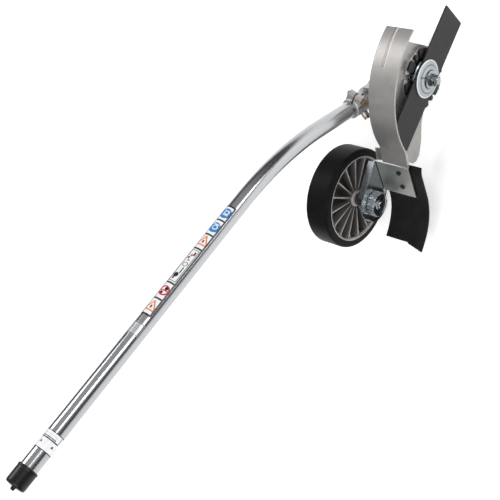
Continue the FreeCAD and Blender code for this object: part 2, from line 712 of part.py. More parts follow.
# clamp flange over the guard plate, and the castellated wrap guard inside it
guard_flange = body("guard_flange", spin=tube_rise.num)
lathe(guard_flange, [
    (33.4, -10), (flange_rad, -10), (flange_rad, -7.5), (42.2, -6.7), (34.4, -6.7), (33.4, -7.5)])
flange_cut_plan = outline(guard_flange, "flange_cut_plan", XY, [(flange_bolt_at, 0, 2.6)], shift=-8,
                          turn=bolt_turn)
flange_cut = cut(guard_flange, "flange_cut", flange_cut_plan, 8, middle=True)
pattern(guard_flange, "flange_cuts", flange_cut, flange_bolts)
bar_half = lock_rad + 0.8


def bar_slot(owner, turn, low, high):
    """A radial slot that lets the locking bar reach the blade holder."""
    plan = outline(owner, owner.Label + "_bar_slot", XY, [
        [(low, -bar_half), (high, -bar_half), (high, bar_half), (low, bar_half)]], turn=turn)
    return cut(owner, owner.Label + "_bar_cut", plan, 2 * rim_in, middle=True)


bar_slot(guard_flange, lock_turn - tube_rise.num, 30, 50)

lump_count = 8
half_gap = 180.0 / lump_count
wrap_ring = body("wrap_guard", spin=lock_turn + half_gap)
ring_part(wrap_ring, 29.6, 33.0, -10, -6)
lump_plan = outline(wrap_ring, "lump_plan", XY, [
    [(31, -6), (43, -7.5), (44.5, -3), (44.5, 3), (43, 7.5), (31, 6)]], shift=-6.2)
lump = pad(wrap_ring, "lump", lump_plan, 3)
pattern(wrap_ring, "lumps", lump, lump_count)
bar_slot(wrap_ring, -half_gap, 25, 50)

guard_bolts = body("guard_bolts", spin=tube_rise.num)
bolt_ring(guard_bolts, flange_bolt_at, bolt_turn, flange_bolts, [
    (0, -16.9), (2.5, -16.9), (2.5, -6.6), (4.1, -6.6), (4.1, -3.4), (3.4, -2.6), (0, -2.6)])

# ---------------------------------------------------------------- rear plate and flaps
rear_in, rear_out = 23.0, 30.0
rear_plate = body("rear_plate")
slope_plan = outline(rear_plate, "slope_plan", XY, [[
    (-162.5, 9.5), (-123.0, 46.5), (-119.9, 45.15), (-118.6, 43.4), (-121.4, 44.4), (-161.1, 8.0)]],
    shift=-rear_in)
pad(rear_plate, "slope", slope_plan, rear_in + rear_out)
tongue_plan = outline(rear_plate, "tongue_plan", XY, [[
    (-121.5, 45.85), (-119.9, 45.15), (-102.94, 57.0), (-101.74, 55.4), (-118.6, 43.4), (-120.5, 44.08)]],
    shift=-rim_in)
pad(rear_plate, "tongue", tongue_plan, rim_in + rear_out)
cheek_plan = outline(rear_plate, "cheek_plan", XY, [[
    (-161.5, 8.6), (-122.5, 45.2), (-104, 55.6), (-104, 36), (-116, 12), (-128, 5), (-150, 1)],
    (pivot_x, pivot_z, 4.05)], shift=-rear_in)
pad(rear_plate, "cheek", cheek_plan, 2)
screw_spots = ((-132.3, 37.79), (-151.2, 20.09))
screw_line = 12.0
slope_turn = FreeCAD.Rotation(V(0, 0, 1), V(-37.0, 39.5, 0))


def slope_marks(owner, name, shape, depth):
    """Sketches across the sloping sheet, one at each flap screw."""
    marks = []
    for number, spot in enumerate(screw_spots):
        mark = outline(owner, "%s_%d" % (name, number), XY, [shape])
        start = V(spot[0], spot[1], screw_line) + slope_turn.multVec(V(0, 0, depth))
        mark.AttachmentOffset = FreeCAD.Placement(start, slope_turn)
        marks.append(mark)
    return marks


def slope_holes(owner, radius):
    """Clearance holes for the flap screws."""
    for mark in slope_marks(owner, owner.Label + "_hole", (0, 0, radius), 0):
        cut(owner, mark.Name + "_cut", mark, 30, middle=True)


slope_holes(rear_plate, 2.1)
flap_section = [
    (-127.0, 38.9), (-161.0, 7.7), (-163.0, 5.6), (-172.0, -1.6), (-182.0, -7.2), (-193.0, -10.8),
    (-205.0, -12.8), (-218.0, -13.0), (-230.0, -11.2), (-230.4, -14.2), (-218.0, -16.0),
    (-204.6, -15.8), (-192.2, -13.8), (-180.7, -10.0), (-170.3, -4.2), (-161.0, 3.2), (-125.0, 37.4)]
rear_flap = body("rear_flap")
rear_flap_plan = outline(rear_flap, "rear_flap_plan", XY, [flap_section], shift=-18)
pad(rear_flap, "rear_flap_sheet", rear_flap_plan, 38)
slope_holes(rear_flap, 2.1)
nut_notch = outline(rear_flap, "nut_notch", XZ, [[(-150, -19), (-120, -19), (-120, -13.4), (-150, -13.4)]])
cut(rear_flap, "nut_notch_cut", nut_notch, 100, middle=True)

side_section = [
    (-118.4, 41.0), (-128.0, 37.4), (-162.5, 5.1), (-172.0, -0.9), (-182.0, -6.2), (-193.0, -9.8),
    (-205.0, -11.8), (-218.0, -12.0), (-238.0, -8.6), (-238.5, -11.6), (-218.0, -15.1),
    (-204.6, -14.9), (-192.2, -12.9), (-180.7, -9.0), (-170.3, -3.7), (-161.0, 2.2), (-126.4, 34.6),
    (-116.5, 38.4)]
side_flap = body("side_flap")
side_flap_plan = outline(side_flap, "side_flap_plan", XY, [side_section], shift=20.4)
pad(side_flap, "side_flap_sheet", side_flap_plan, 26)
tip_plan = outline(side_flap, "tip_plan", XZ, [[(-250, 18), (-231.5, 18), (-240, 50), (-250, 50)]])
cut(side_flap, "tip_slant", tip_plan, 80, middle=True)

retainer = body("flap_retainer")
retainer_plan = outline(retainer, "retainer_plan", XY, [[
    (-125.6, 36.6), (-157.2, 6.6), (-155.9, 5.2), (-124.3, 35.2)]], shift=-14)
pad(retainer, "retainer_strip", retainer_plan, 33)
slope_holes(retainer, 2.1)

flap_screws = body("flap_screws")
flap_screws.AllowCompound = True
for mark in slope_marks(flap_screws, "flap_shank", (0, 0, 2.0), -11.6):
    pad(flap_screws, mark.Name + "_pad", mark, 11.8)
for mark in slope_marks(flap_screws, "flap_head", (0, 0, 3.5), 0.02):
    pad(flap_screws, mark.Name + "_pad", mark, 1.5)

flap_nuts = body("flap_nuts")
flap_nuts.AllowCompound = True
for mark in slope_marks(flap_nuts, "flap_nut", hexagon(7.0), -11.0):
    pad(flap_nuts, mark.Name + "_pad", mark, 3.1)
for mark in slope_marks(flap_nuts, "flap_nut_bore", (0, 0, 2.05), 0):
    cut(flap_nuts, mark.Name + "_cut", mark, 30, middle=True)

# ---------------------------------------------------------------- wheel arm and its hardware
arm_face, arm_back = 24.0, 26.5
arm_end = 27.0
arm = body("wheel_arm")
arm_plan = outline(arm, "arm_plan", XY, [
    [(-124.0, 48.0)] + arc_points(arm_end, 82, 273, 24, wheel_x.num, wheel_z.num)
    + [(-128.0, 6.0), (-121.0, 14.0), (-119.0, 34.0)],
    (pivot_x, pivot_z, 4.05), (wheel_x, wheel_z, axle_rad)], shift=-arm_back)
pad(arm, "arm_web", arm_plan, arm_back - arm_face)
lip = arc_points(arm_end - 0.4, 176, 285, 16, wheel_x.num, wheel_z.num)
lip += arc_points(arm_end - 2.2, 285, 176, 16, wheel_x.num, wheel_z.num)
lip_plan = outline(arm, "lip_plan", XY, [lip], shift=-arm_face - 0.5)
pad(arm, "arm_lip", lip_plan, 6.2)
edge_plan = outline(arm, "edge_plan", XY, [[
    (-125.0, 47.7), (-178.6, 56.2), (-178.9, 54.3), (-125.3, 45.8)]], shift=-arm_back - 8)
pad(arm, "arm_edge", edge_plan, 8.5)

pivot_bolt = body("pivot_bolt", (pivot_x.num, 0, pivot_z.num))
pivot_head = outline(pivot_bolt, "pivot_head_plan", XY, [hexagon(13.0)], shift=-arm_back - 6.3)
pad(pivot_bolt, "pivot_head", pivot_head, 6)
pivot_shank = outline(pivot_bolt, "pivot_shank_plan", XY, [(0, 0, 4)], shift=-arm_back - 0.4)
pad(pivot_bolt, "pivot_shank", pivot_shank, 12.2)
slope_lean = 132.5
pivot_nut = body("pivot_nut", (pivot_x.num, 0, pivot_z.num), spin=slope_lean - 150)
pivot_nut_plan = outline(pivot_nut, "pivot_nut_plan", XY, [hexagon(13.0), (0, 0, 4)], shift=-21)
pad(pivot_nut, "pivot_nut_hex", pivot_nut_plan, 6.5)
pivot_spacer = body("pivot_washer", (pivot_x.num, 0, pivot_z.num))
ring_part(pivot_spacer, 4, 8, -23.9, -23)

axle = wheel_body("axle_bolt")
axle_head_at = -95.5
axle_profile = [(0, axle_head_at - 5), (7, axle_head_at - 5), (8, axle_head_at - 4), (8, axle_head_at),
                (axle_rad, axle_head_at), (axle_rad, -11), (4, -10), (0, -10)]
lathe(axle, axle_profile)
axle_washer = wheel_body("axle_washer")
ring_part(axle_washer, axle_rad, 11, -95.5, -93.7)
axle_spacer = wheel_body("axle_spacer")
ring_part(axle_spacer, axle_rad, 9.5, -47.5, -arm_back)

knob = wheel_body("wheel_knob")
knob_teeth = 22
knob_rad = 18.0
ring_part(knob, axle_rad + 0.05, knob_rad - 1.6, -23.7, -13.5)
tooth_plan = outline(knob, "knob_tooth_plan", XY, [[
    (knob_rad - 2.2, -1.6), (knob_rad, -1.1), (knob_rad, 1.1), (knob_rad - 2.2, 1.6)]], shift=-23.7)
tooth = pad(knob, "knob_tooth", tooth_plan, 9.2)
pattern(knob, "knob_teeth", tooth, knob_teeth)

# ---------------------------------------------------------------- wheel
wheel_low = -(wheel_face + wheel_wide)
bush = wheel_body("wheel_bush")
ring_part(bush, axle_rad + 0.05, 7, -93.4, -47.8)
hub = wheel_body("wheel_hub")
hub_section = outline(hub, "hub_section", XZ, [[
    (7, -93.0), (13, -93.0), (14.5, -88), (14.5, -71), (58.5, -71), (58.5, wheel_low), (ring_rad, wheel_low),
    (ring_rad, -wheel_face), (58.5, -wheel_face), (58.5, -68), (14.5, -68), (13.5, -51), (7, -51)]])
turned(hub, "hub_turned", hub_section)
spoke_section = [(13.6, -52.2), (59.4, -52.2), (59.4, -86), (13.6, -86)]
spoke_plan = outline(hub, "spoke_plan", XZ, [spoke_section])
spoke = pad(hub, "spoke", spoke_plan, 1.8, middle=True)
pattern(hub, "spokes", spoke, 16)

tyre = wheel_body("tyre")
side_in = -wheel_face.num
side_far = wheel_low.num
round_in = arc_points(8, 0, 80, 6, wheel_rad.num - 8, side_in - 8)
round_far = arc_points(8, -80, 0, 6, wheel_rad.num - 8, side_far + 8)
tyre_profile = ([(ring_rad, side_far), (wheel_rad.num - 9, side_far)] + round_far + round_in
                + [(wheel_rad.num - 9, side_in), (ring_rad, side_in)])
lathe(tyre, tyre_profile)

# ---------------------------------------------------------------- write the pieces
doc.recompute()
broken = [o.Name for o in doc.Objects if any(k in ("Invalid", "Error") for k in o.State)]
if broken:
    raise RuntimeError("failed objects: %s" % ", ".join(broken))
pieces = [o for o in doc.Objects if o.TypeId == "PartDesign::Body"]
os.makedirs("parts", exist_ok=True)
for piece in pieces:
    shape = piece.Shape
    if shape.isNull() or not shape.isValid():
        raise RuntimeError("bad shape: %s" % piece.Label)
    shape.exportStep("parts/%s.step" % piece.Label)
    print("%-24s %9.1f mm3" % (piece.Label, shape.Volume))
print("pieces", len(pieces))
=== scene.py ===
import json
import math

import bmesh
import bpy
from bpy.props import FloatProperty, FloatVectorProperty, IntProperty
from mathutils import Matrix, Vector


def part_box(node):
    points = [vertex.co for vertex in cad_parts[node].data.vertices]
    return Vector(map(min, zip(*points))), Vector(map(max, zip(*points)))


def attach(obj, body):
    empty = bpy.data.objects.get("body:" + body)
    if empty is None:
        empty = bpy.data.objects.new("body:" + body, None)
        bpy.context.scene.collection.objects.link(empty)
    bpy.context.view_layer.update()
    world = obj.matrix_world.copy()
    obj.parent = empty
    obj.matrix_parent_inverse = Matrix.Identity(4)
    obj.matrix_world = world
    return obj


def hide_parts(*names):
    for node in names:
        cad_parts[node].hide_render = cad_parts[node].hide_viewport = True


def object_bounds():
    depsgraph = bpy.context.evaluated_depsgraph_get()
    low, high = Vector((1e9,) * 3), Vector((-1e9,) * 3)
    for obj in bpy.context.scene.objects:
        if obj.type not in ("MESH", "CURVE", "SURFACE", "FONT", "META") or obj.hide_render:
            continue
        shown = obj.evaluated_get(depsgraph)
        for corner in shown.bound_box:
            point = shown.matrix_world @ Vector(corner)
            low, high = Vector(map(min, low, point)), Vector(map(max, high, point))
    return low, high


bl_info = {
    "name": "Lawn edger attachment",
    "version": (1, 0, 0),
    "blender": (4, 5, 0),
    "location": "3D View > Sidebar > Edger",
    "description": "Builds the looks of a curved-shaft lawn edger round its CAD frame",
    "category": "Object",
}

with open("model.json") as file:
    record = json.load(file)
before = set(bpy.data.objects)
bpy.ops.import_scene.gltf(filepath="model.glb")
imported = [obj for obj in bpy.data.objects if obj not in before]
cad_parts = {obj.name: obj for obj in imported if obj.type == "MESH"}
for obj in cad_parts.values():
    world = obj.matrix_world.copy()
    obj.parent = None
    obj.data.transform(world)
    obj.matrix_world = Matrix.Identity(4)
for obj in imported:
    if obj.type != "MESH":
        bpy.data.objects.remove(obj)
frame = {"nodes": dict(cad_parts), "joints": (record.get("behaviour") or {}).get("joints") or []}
CAD_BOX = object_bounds()

MM = 0.001
AS_IS = Matrix.Identity(4)

# side frame: local x forward, y up, z outboard (towards the blade nut)
SIDE = Matrix(((1, 0, 0, 0), (0, 0, -1, 0), (0, 1, 0, 0), (0, 0, 0, 1)))


def middle_of(node):
    """Centre and half size of a CAD node."""
    low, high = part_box(node)
    return (low + high) / 2, (high - low) / 2


def axis_frame(joint, side):
    """A frame at a joint whose z runs along its axis and whose x is the given side."""
    z = Vector(joint["axis"]).normalized()
    x = Vector(side)
    x = (x - z * x.dot(z)).normalized()
    turned = Matrix((x, z.cross(x), z)).transposed().to_4x4()
    return Matrix.Translation(joint["pos_m"]) @ turned


WHEEL_CENTRE, WHEEL_HALF = middle_of("tyre")
WHEEL = Matrix.Translation((WHEEL_CENTRE.x, 0, WHEEL_CENTRE.z)) @ SIDE
JOINTS = {joint["name"]: joint for joint in frame["joints"]}
END_JOINT = JOINTS["coupling_spin"]
WHEEL_SIDE = (0, 1, 0)
# tube end frame: local z out of the tube's open end; head frame: local z up the drive tube
TUBE_END = axis_frame(END_JOINT, WHEEL_SIDE)
HEAD = axis_frame(JOINTS["pinion_spin"], WHEEL_SIDE)

# --- settings
LENGTH = {"unit": "LENGTH", "subtype": "DISTANCE"}
COLOUR = {"subtype": "COLOR", "size": 3, "min": 0, "max": 1}


class TubeSettings(bpy.types.PropertyGroup):
    """Sizes of the drive tube and its labels."""

    radius: FloatProperty(name="Radius", description="Outer radius of the drive tube", default=11.1 * MM, **LENGTH)
    wall: FloatProperty(name="Wall", description="Wall thickness of the drive tube", default=1.5 * MM, **LENGTH)
    seat: FloatProperty(name="Seat", description="Distance from the spindle to the tube's seated end",
                        default=64.5 * MM, **LENGTH)
    bend_start: FloatProperty(name="Bend start", description="Distance from the spindle to the bend",
                              default=191 * MM, **LENGTH)
    bend_radius: FloatProperty(name="Bend radius", description="Radius of the bend's centre line",
                               default=431 * MM, **LENGTH)
    sides: IntProperty(name="Sides", description="Facets round the tube", default=72)
    film: FloatProperty(name="Film", description="Thickness of the printed labels", default=0.12 * MM, **LENGTH)


class WheelSettings(bpy.types.PropertyGroup):
    """Sizes of the guide wheel and its knob."""

    ring: FloatProperty(name="Ring radius", description="Outer radius of the wheel's plastic ring",
                        default=62.5 * MM, **LENGTH)
    hub: FloatProperty(name="Hub radius", description="Radius of the wheel's hub", default=14.5 * MM, **LENGTH)
    bore: FloatProperty(name="Bore", description="Radius of the hub's bore for the bush", default=7.0 * MM, **LENGTH)
    spokes: IntProperty(name="Spokes", description="Number of ribs round the wheel", default=16)
    shoulder: FloatProperty(name="Shoulder", description="Rounding of the tyre's edges", default=9.0 * MM, **LENGTH)
    axle: FloatProperty(name="Axle", description="Radius of the bore in the knob", default=5.05 * MM, **LENGTH)
    knob: FloatProperty(name="Knob", description="Outer radius of the knurled knob", default=18.0 * MM, **LENGTH)
    teeth: IntProperty(name="Teeth", description="Teeth round the knurled knob", default=22)


class FinishSettings(bpy.types.PropertyGroup):
    """Colours of the edger's finishes."""

    tube: FloatVectorProperty(name="Tube", description="Bare aluminium of the drive tube",
                              default=(0.46, 0.465, 0.485), **COLOUR)
    guard: FloatVectorProperty(name="Guard", description="Satin paint of the guard",
                               default=(0.40, 0.385, 0.375), **COLOUR)
    blade: FloatVectorProperty(name="Blade", description="Dark coat of the blade",
                               default=(0.020, 0.020, 0.0205), **COLOUR)
    rubber: FloatVectorProperty(name="Rubber", description="Rubber of the flaps",
                                default=(0.0055, 0.0055, 0.006), **COLOUR)
    tyre: FloatVectorProperty(name="Tyre", description="Rubber of the wheel's tyre",
                              default=(0.0055, 0.0055, 0.006), **COLOUR)
    wheel: FloatVectorProperty(name="Wheel", description="Plastic of the wheel",
                               default=(0.085, 0.080, 0.077), **COLOUR)


class StageSettings(bpy.types.PropertyGroup):
    """Floor and light."""

    floor: FloatVectorProperty(name="Floor", description="Colour of the plain floor",
                               default=(0.93, 0.93, 0.93), **COLOUR)
    key: FloatProperty(name="Key light", description="Power of the main soft light in watts", default=20.0,
                       min=0, unit="POWER")
    fill: FloatProperty(name="Fill light", description="Power of the fill light in watts", default=14.0,
                        min=0, unit="POWER")
    sky: FloatProperty(name="Surround", description="Brightness of the pale surround", default=0.55, min=0)
    lens: FloatProperty(name="Lens", description="Focal length of the camera in millimetres", default=72.0,
                        min=1, unit="CAMERA")


# --- node helpers
def wire(tree, made, sockets):
    """Links or fills a node's sockets."""
    for key, value in sockets.items():
        if isinstance(value, bpy.types.NodeSocket):
            tree.links.new(value, made.inputs[key])
        else:
            made.inputs[key].default_value = value
    return made


def add(tree, kind, sockets=None, **settings):
    """Adds a node, sets its properties and wires or fills its sockets."""
    made = tree.nodes.new(kind)
    for name, value in settings.items():
        setattr(made, name, value)
    return wire(tree, made, sockets or {})


def maths(tree, operation, *values, clamp=False):
    """A Math node's output."""
    return add(tree, "ShaderNodeMath", dict(enumerate(values)), operation=operation, use_clamp=clamp).outputs[0]


def product(tree, first, *others):
    """Several values multiplied."""
    for other in others:
        first = maths(tree, "MULTIPLY", first, other)
    return first


def away(tree, value, middle):
    """How far a value is from a middle, on either side."""
    return maths(tree, "ABSOLUTE", maths(tree, "SUBTRACT", value, middle))


def remap(tree, value, low, high, to_low, to_high, smooth=False):
    """A Map Range node's output."""
    return add(tree, "ShaderNodeMapRange", {
        "Value": value, "From Min": low, "From Max": high, "To Min": to_low, "To Max": to_high,
    }, interpolation_type="SMOOTHSTEP" if smooth else "LINEAR", clamp=True).outputs["Result"]


def noise(tree, spot, scale, detail, rough=0.5):
    """A Noise node's value."""
    return add(tree, "ShaderNodeTexNoise", {
        "Vector": spot, "Scale": scale, "Detail": detail, "Roughness": rough}).outputs[0]


def split(tree, vector):
    """The three parts of a vector."""
    return add(tree, "ShaderNodeSeparateXYZ", {0: vector}).outputs


def blend_colour(tree, share, first, second, kind="MIX"):
    """Mixes two colours and returns the result."""
    first, second = (value if isinstance(value, bpy.types.NodeSocket) else (*value[:3], 1)
                     for value in (first, second))
    return add(tree, "ShaderNodeMix", {0: share, 6: first, 7: second}, data_type="RGBA", blend_type=kind).outputs[2]


def times_grey(tree, colour, level):
    """A colour made lighter or darker by a level."""
    grey = add(tree, "ShaderNodeCombineColor", {0: level, 1: level, 2: level}).outputs[0]
    return blend_colour(tree, 1.0, colour, grey, "MULTIPLY")


def new_group(name, inputs, outputs):
    """An empty shader node group with a Vector and named inputs; its input sockets and its end node."""
    tree = bpy.data.node_groups.new(name, "ShaderNodeTree")
    tree.interface.new_socket("Vector", in_out="INPUT", socket_type="NodeSocketVector")
    for label, kind, value in inputs:
        tree.interface.new_socket(label, in_out="INPUT", socket_type="NodeSocket" + kind).default_value = value
    for label, kind in outputs:
        tree.interface.new_socket(label, in_out="OUTPUT", socket_type="NodeSocket" + kind)
    return tree, tree.nodes.new("NodeGroupInput").outputs, tree.nodes.new("NodeGroupOutput")


# --- shared effects
def grain_group():
    """Grain: a broad tone and a fine one, stretched along the maker's lines."""
    tree, ins, outs = new_group("grain", (("Stretch", "Vector", (1, 1, 1)), ("Scale", "Float", 300.0)),
                                (("Broad", "Float"), ("Fine", "Float")))
    broad_share, contrast = 0.09, 2.2
    spread = add(tree, "ShaderNodeVectorMath", {0: ins["Vector"], 1: ins["Stretch"]}, operation="MULTIPLY").outputs[0]
    fine = noise(tree, spread, ins["Scale"], 4.0, 0.6)
    broad = noise(tree, spread, product(tree, ins["Scale"], broad_share), 3.0)
    for name, source in (("Broad", broad), ("Fine", fine)):
        centred = maths(tree, "SUBTRACT", source, 0.5)
        wide = product(tree, centred, contrast)
        wire(tree, outs, {name: maths(tree, "ADD", wide, 0.5, clamp=True)})
    return tree


def wear_group():
    """Worn edges, which on the wheel stand for a painted edge highlight: a patchy mask along sharp edges, and the
    softened edge normal.
    """
    tree, ins, outs = new_group("worn_edges", (("Width", "Float", 0.5 * MM), ("Amount", "Float", 0.5)),
                                (("Mask", "Float"), ("Normal", "Vector")))
    soft = add(tree, "ShaderNodeBevel", {"Radius": ins["Width"]}, samples=8).outputs[0]
    sharp = tree.nodes.new("ShaderNodeNewGeometry").outputs["Normal"]
    facing = add(tree, "ShaderNodeVectorMath", {0: soft, 1: sharp}, operation="DOT_PRODUCT").outputs["Value"]
    # the softened normal leans away from the flat one only near an edge
    edge = remap(tree, facing, 0.995, 0.86, 0.0, 1.0)
    patches = remap(tree, noise(tree, ins["Vector"], 160.0, 5.0, 0.7), 0.36, 0.6, 0.25, 1.0)
    wire(tree, outs, {"Mask": product(tree, edge, patches, ins["Amount"]), "Normal": soft})
    return tree


def scuff_group():
    """Hairline scuffs: thin broken lines in two directions."""
    tree, ins, outs = new_group("hairlines", (("Amount", "Float", 0.5),), (("Mask", "Float"),))
    lines = []
    for turn in (0.4, 2.1):
        turned = add(tree, "ShaderNodeMapping", {
            "Vector": ins["Vector"], "Rotation": (turn, turn * 0.6, turn), "Scale": (1.0, 26.0, 1.0)}).outputs[0]
        lines.append(remap(tree, away(tree, noise(tree, turned, 60.0, 2.0), 0.5), 0.0, 0.012, 1.0, 0.0))
    gate = remap(tree, noise(tree, ins["Vector"], 22.0, 2.0), 0.5, 0.66, 0.0, 1.0)
    wire(tree, outs, {"Mask": product(tree, maths(tree, "MAXIMUM", *lines), gate, ins["Amount"])})
    return tree


def dust_group():
    """Dust: a thin film that gathers on faces turned upwards."""
    tree, ins, outs = new_group("dust", (("Amount", "Float", 0.2),), (("Mask", "Float"),))
    normal = tree.nodes.new("ShaderNodeNewGeometry").outputs["Normal"]
    level = remap(tree, split(tree, normal)["Z"], -0.2, 1.0, 0.15, 1.0)
    cloud = remap(tree, noise(tree, ins["Vector"], 45.0, 6.0, 0.65), 0.38, 0.72, 0.0, 1.0, smooth=True)
    wire(tree, outs, {"Mask": product(tree, level, cloud, ins["Amount"])})
    return tree


SHARED = {}


def place(tree, name, sockets):
    """Puts a shared effect into a material, built the first time it is asked for; returns its outputs."""
    makers = {"grain": grain_group, "worn_edges": wear_group, "hairlines": scuff_group, "dust": dust_group}
    if name not in SHARED:
        SHARED[name] = makers[name]()
    return add(tree, "ShaderNodeGroup", sockets, node_tree=SHARED[name]).outputs


# --- finishes
DUST_COLOUR = (0.42, 0.40, 0.37)
DUST_ROUGH, SCUFF_ROUGH = 0.3, 0.15
FLECK = (0.93, 1.05)


def darker(tint, share):
    """A colour scaled by a share."""
    return tuple(value * share for value in tint)


def surface(name, base, tone, metal, rough, scale=300.0, stretch=(1, 1, 1), bump=0.1, depth=0.05,
            edge=0.4, worn=(0.6, 0.6, 0.6), wear=0.0, scuffs=0.0, dust=0.0, along_uv=False, gloss=0.5):
    """A finish with two-tone grain, worn edges, hairlines and dust.

    Widths and depths are in millimetres.  Returns the material, its tree, shader, place and colour.
    """
    material = bpy.data.materials.new(name)
    material.use_nodes = True
    tree = material.node_tree
    shader = tree.nodes["Principled BSDF"]
    places = tree.nodes.new("ShaderNodeTexCoord").outputs
    spot = places["Object"]
    grain = place(tree, "grain", {
        "Vector": places["UV"] if along_uv else spot, "Stretch": stretch, "Scale": scale})
    edges = place(tree, "worn_edges", {"Vector": spot, "Width": edge * MM, "Amount": wear})
    colour = blend_colour(tree, grain["Broad"], base, tone)
    colour = times_grey(tree, colour, remap(tree, grain["Fine"], 0.0, 1.0, *FLECK))
    colour = blend_colour(tree, edges["Mask"], colour, worn)
    roughness = remap(tree, grain["Fine"], 0.0, 1.0, *rough)
    for effect, amount, tint, rise in (("hairlines", scuffs, worn, SCUFF_ROUGH),
                                       ("dust", dust, DUST_COLOUR, DUST_ROUGH)):
        if amount:
            mask = place(tree, effect, {"Vector": spot, "Amount": amount})["Mask"]
            colour = blend_colour(tree, mask, colour, tint)
            roughness = maths(tree, "ADD", roughness, product(tree, mask, rise))
    relief = add(tree, "ShaderNodeBump", {"Strength": bump, "Distance": depth * MM, "Height": grain["Fine"],
                                          "Normal": edges["Normal"]}).outputs[0]
    wire(tree, shader, {"Base Color": colour, "Roughness": roughness, "Normal": relief, "Metallic": metal,
                        "Specular IOR Level": gloss})
    return material, tree, shader, spot, colour


def guard_finish(tint):
    """Silver-grey satin paint on pressed sheet, with painted shade and a painted highlight on the two flanks of the
    rim's bead.
    """
    # pale is the colour of the worn edges and of the painted highlight on the bead; dark is the painted shade on the
    # bead
    pale, dark = (0.80, 0.79, 0.77), (0.06, 0.058, 0.056)
    material, tree, shader, spot, colour = surface(
        "guard_paint", tint, darker(tint, 0.9), 0.7, (0.34, 0.42), scale=900.0, bump=0.08, depth=0.03, edge=0.9,
        worn=pale, wear=0.8, scuffs=0.12, dust=0.03)
    at = split(tree, spot)
    on_rim = product(tree, maths(tree, "GREATER_THAN", at["X"], 3.6 * MM),
                     maths(tree, "GREATER_THAN", at["Z"], 100 * MM))
    # each ink here is painted light: the dark tone is painted shade on one flank of the bead, the pale tone a painted
    # highlight on the other
    for middle, ink in ((-3.3, dark), (-6.9, pale)):
        line = remap(tree, away(tree, at["Y"], middle * MM), 0.3 * MM, 0.8 * MM, 0.85, 0.0)
        colour = blend_colour(tree, product(tree, line, on_rim), colour, ink)
    wire(tree, shader, {"Base Color": colour})
    return material


def turned_finish():
    """Bright zinc on the clamp washer, with painted rings about the spindle: painted shade round the collar and at
    the dome's step, and a painted highlight near the rim.
    """
    material, tree, shader, spot, colour = surface(
        "turned_zinc", (0.42, 0.45, 0.455), (0.36, 0.39, 0.40), 1.0, (0.2, 0.26), scale=420.0, bump=0.02,
        depth=0.02, edge=0.25, worn=BRIGHT, wear=0.5, scuffs=0.06)
    at = split(tree, spot)
    far = maths(tree, "SQRT", maths(tree, "ADD", *(maths(tree, "POWER", at[part], 2.0) for part in "XZ")))
    # painted light: painted shade at the dome's step (19.8 mm) and round the collar (13.2 mm), and a painted
    # highlight near the rim (25.9 mm)
    for middle, half, tint, amount in ((19.8, 1.5, (0.16, 0.18, 0.19), 0.85), (13.2, 1.2, (0.10, 0.11, 0.12), 0.8),
                                       (25.9, 1.0, (0.85, 0.87, 0.88), 0.6)):
        ring = remap(tree, away(tree, far, middle * MM), half * 0.4 * MM, half * MM, amount, 0.0, smooth=True)
        colour = blend_colour(tree, ring, colour, tint)
    wire(tree, shader, {"Base Color": colour})
    return material


def zinc_finish():
    """Bright zinc plate with a faint blue cast and cloudy spangle."""
    material, tree, shader, spot, colour = surface(
        "bright_zinc", (0.42, 0.45, 0.465), (0.35, 0.38, 0.40), 1.0, (0.19, 0.24), scale=420.0, bump=0.03,
        depth=0.02, edge=0.35, worn=BRIGHT, wear=0.6, scuffs=0.1)
    cells = add(tree, "ShaderNodeTexVoronoi", {"Vector": spot, "Scale": 240.0}).outputs["Color"]
    level = add(tree, "ShaderNodeRGBToBW", {0: cells}).outputs[0]
    wire(tree, shader, {"Base Color": times_grey(tree, colour, remap(tree, level, 0.0, 1.0, 0.95, 1.03))})
    return material


def wheel_finish(tint):
    """Grey plastic of the wheel, its edges and front faces painted paler as a painted highlight."""
    # the edge colour given as worn is a painted highlight along the wheel's rib and ring edges
    material, tree, shader, spot, colour = surface(
        "wheel_plastic", tint, darker(tint, 0.84), 0.0, (0.34, 0.46), scale=1100.0, bump=0.12, depth=0.04,
        edge=0.8, worn=(0.36, 0.35, 0.34), wear=0.8, dust=0.02, gloss=0.4)
    # the faces nearest the front are painted paler in patches: a painted highlight where light falls on the wheel's
    # front
    front = remap(tree, split(tree, spot)["Y"], 53.9 * MM, 52.9 * MM, 0.0, 1.0, smooth=True)
    patches = remap(tree, noise(tree, spot, 90.0, 4.0), 0.3, 0.6, 0.55, 1.0)
    front_painted_highlight = blend_colour(tree, product(tree, front, patches), colour, (0.42, 0.41, 0.40))
    wire(tree, shader, {"Base Color": front_painted_highlight})
    return material


def rubber(name, tint, rough, dust, gloss=0.2):
    """Moulded rubber with a fine matt grain."""
    return dict(name=name, base=tint, tone=darker(tint, 1.45), metal=0.0, rough=rough, scale=900.0, bump=0.2,
                depth=0.05, edge=0.5, worn=(0.05, 0.05, 0.05), wear=0.35, dust=dust, gloss=gloss)


def plastic(name, tint, rough, wear=0.35):
    """Moulded plastic with a soft texture."""
    pale = tuple(min(1.0, value * 2.2) for value in tint)
    return dict(name=name, base=tint, tone=darker(tint, 0.84), metal=0.0, rough=rough, scale=1100.0, bump=0.12,
                depth=0.04, edge=0.5, worn=pale, wear=wear, dust=0.02, gloss=0.3)


BRIGHT = (0.86, 0.87, 0.88)
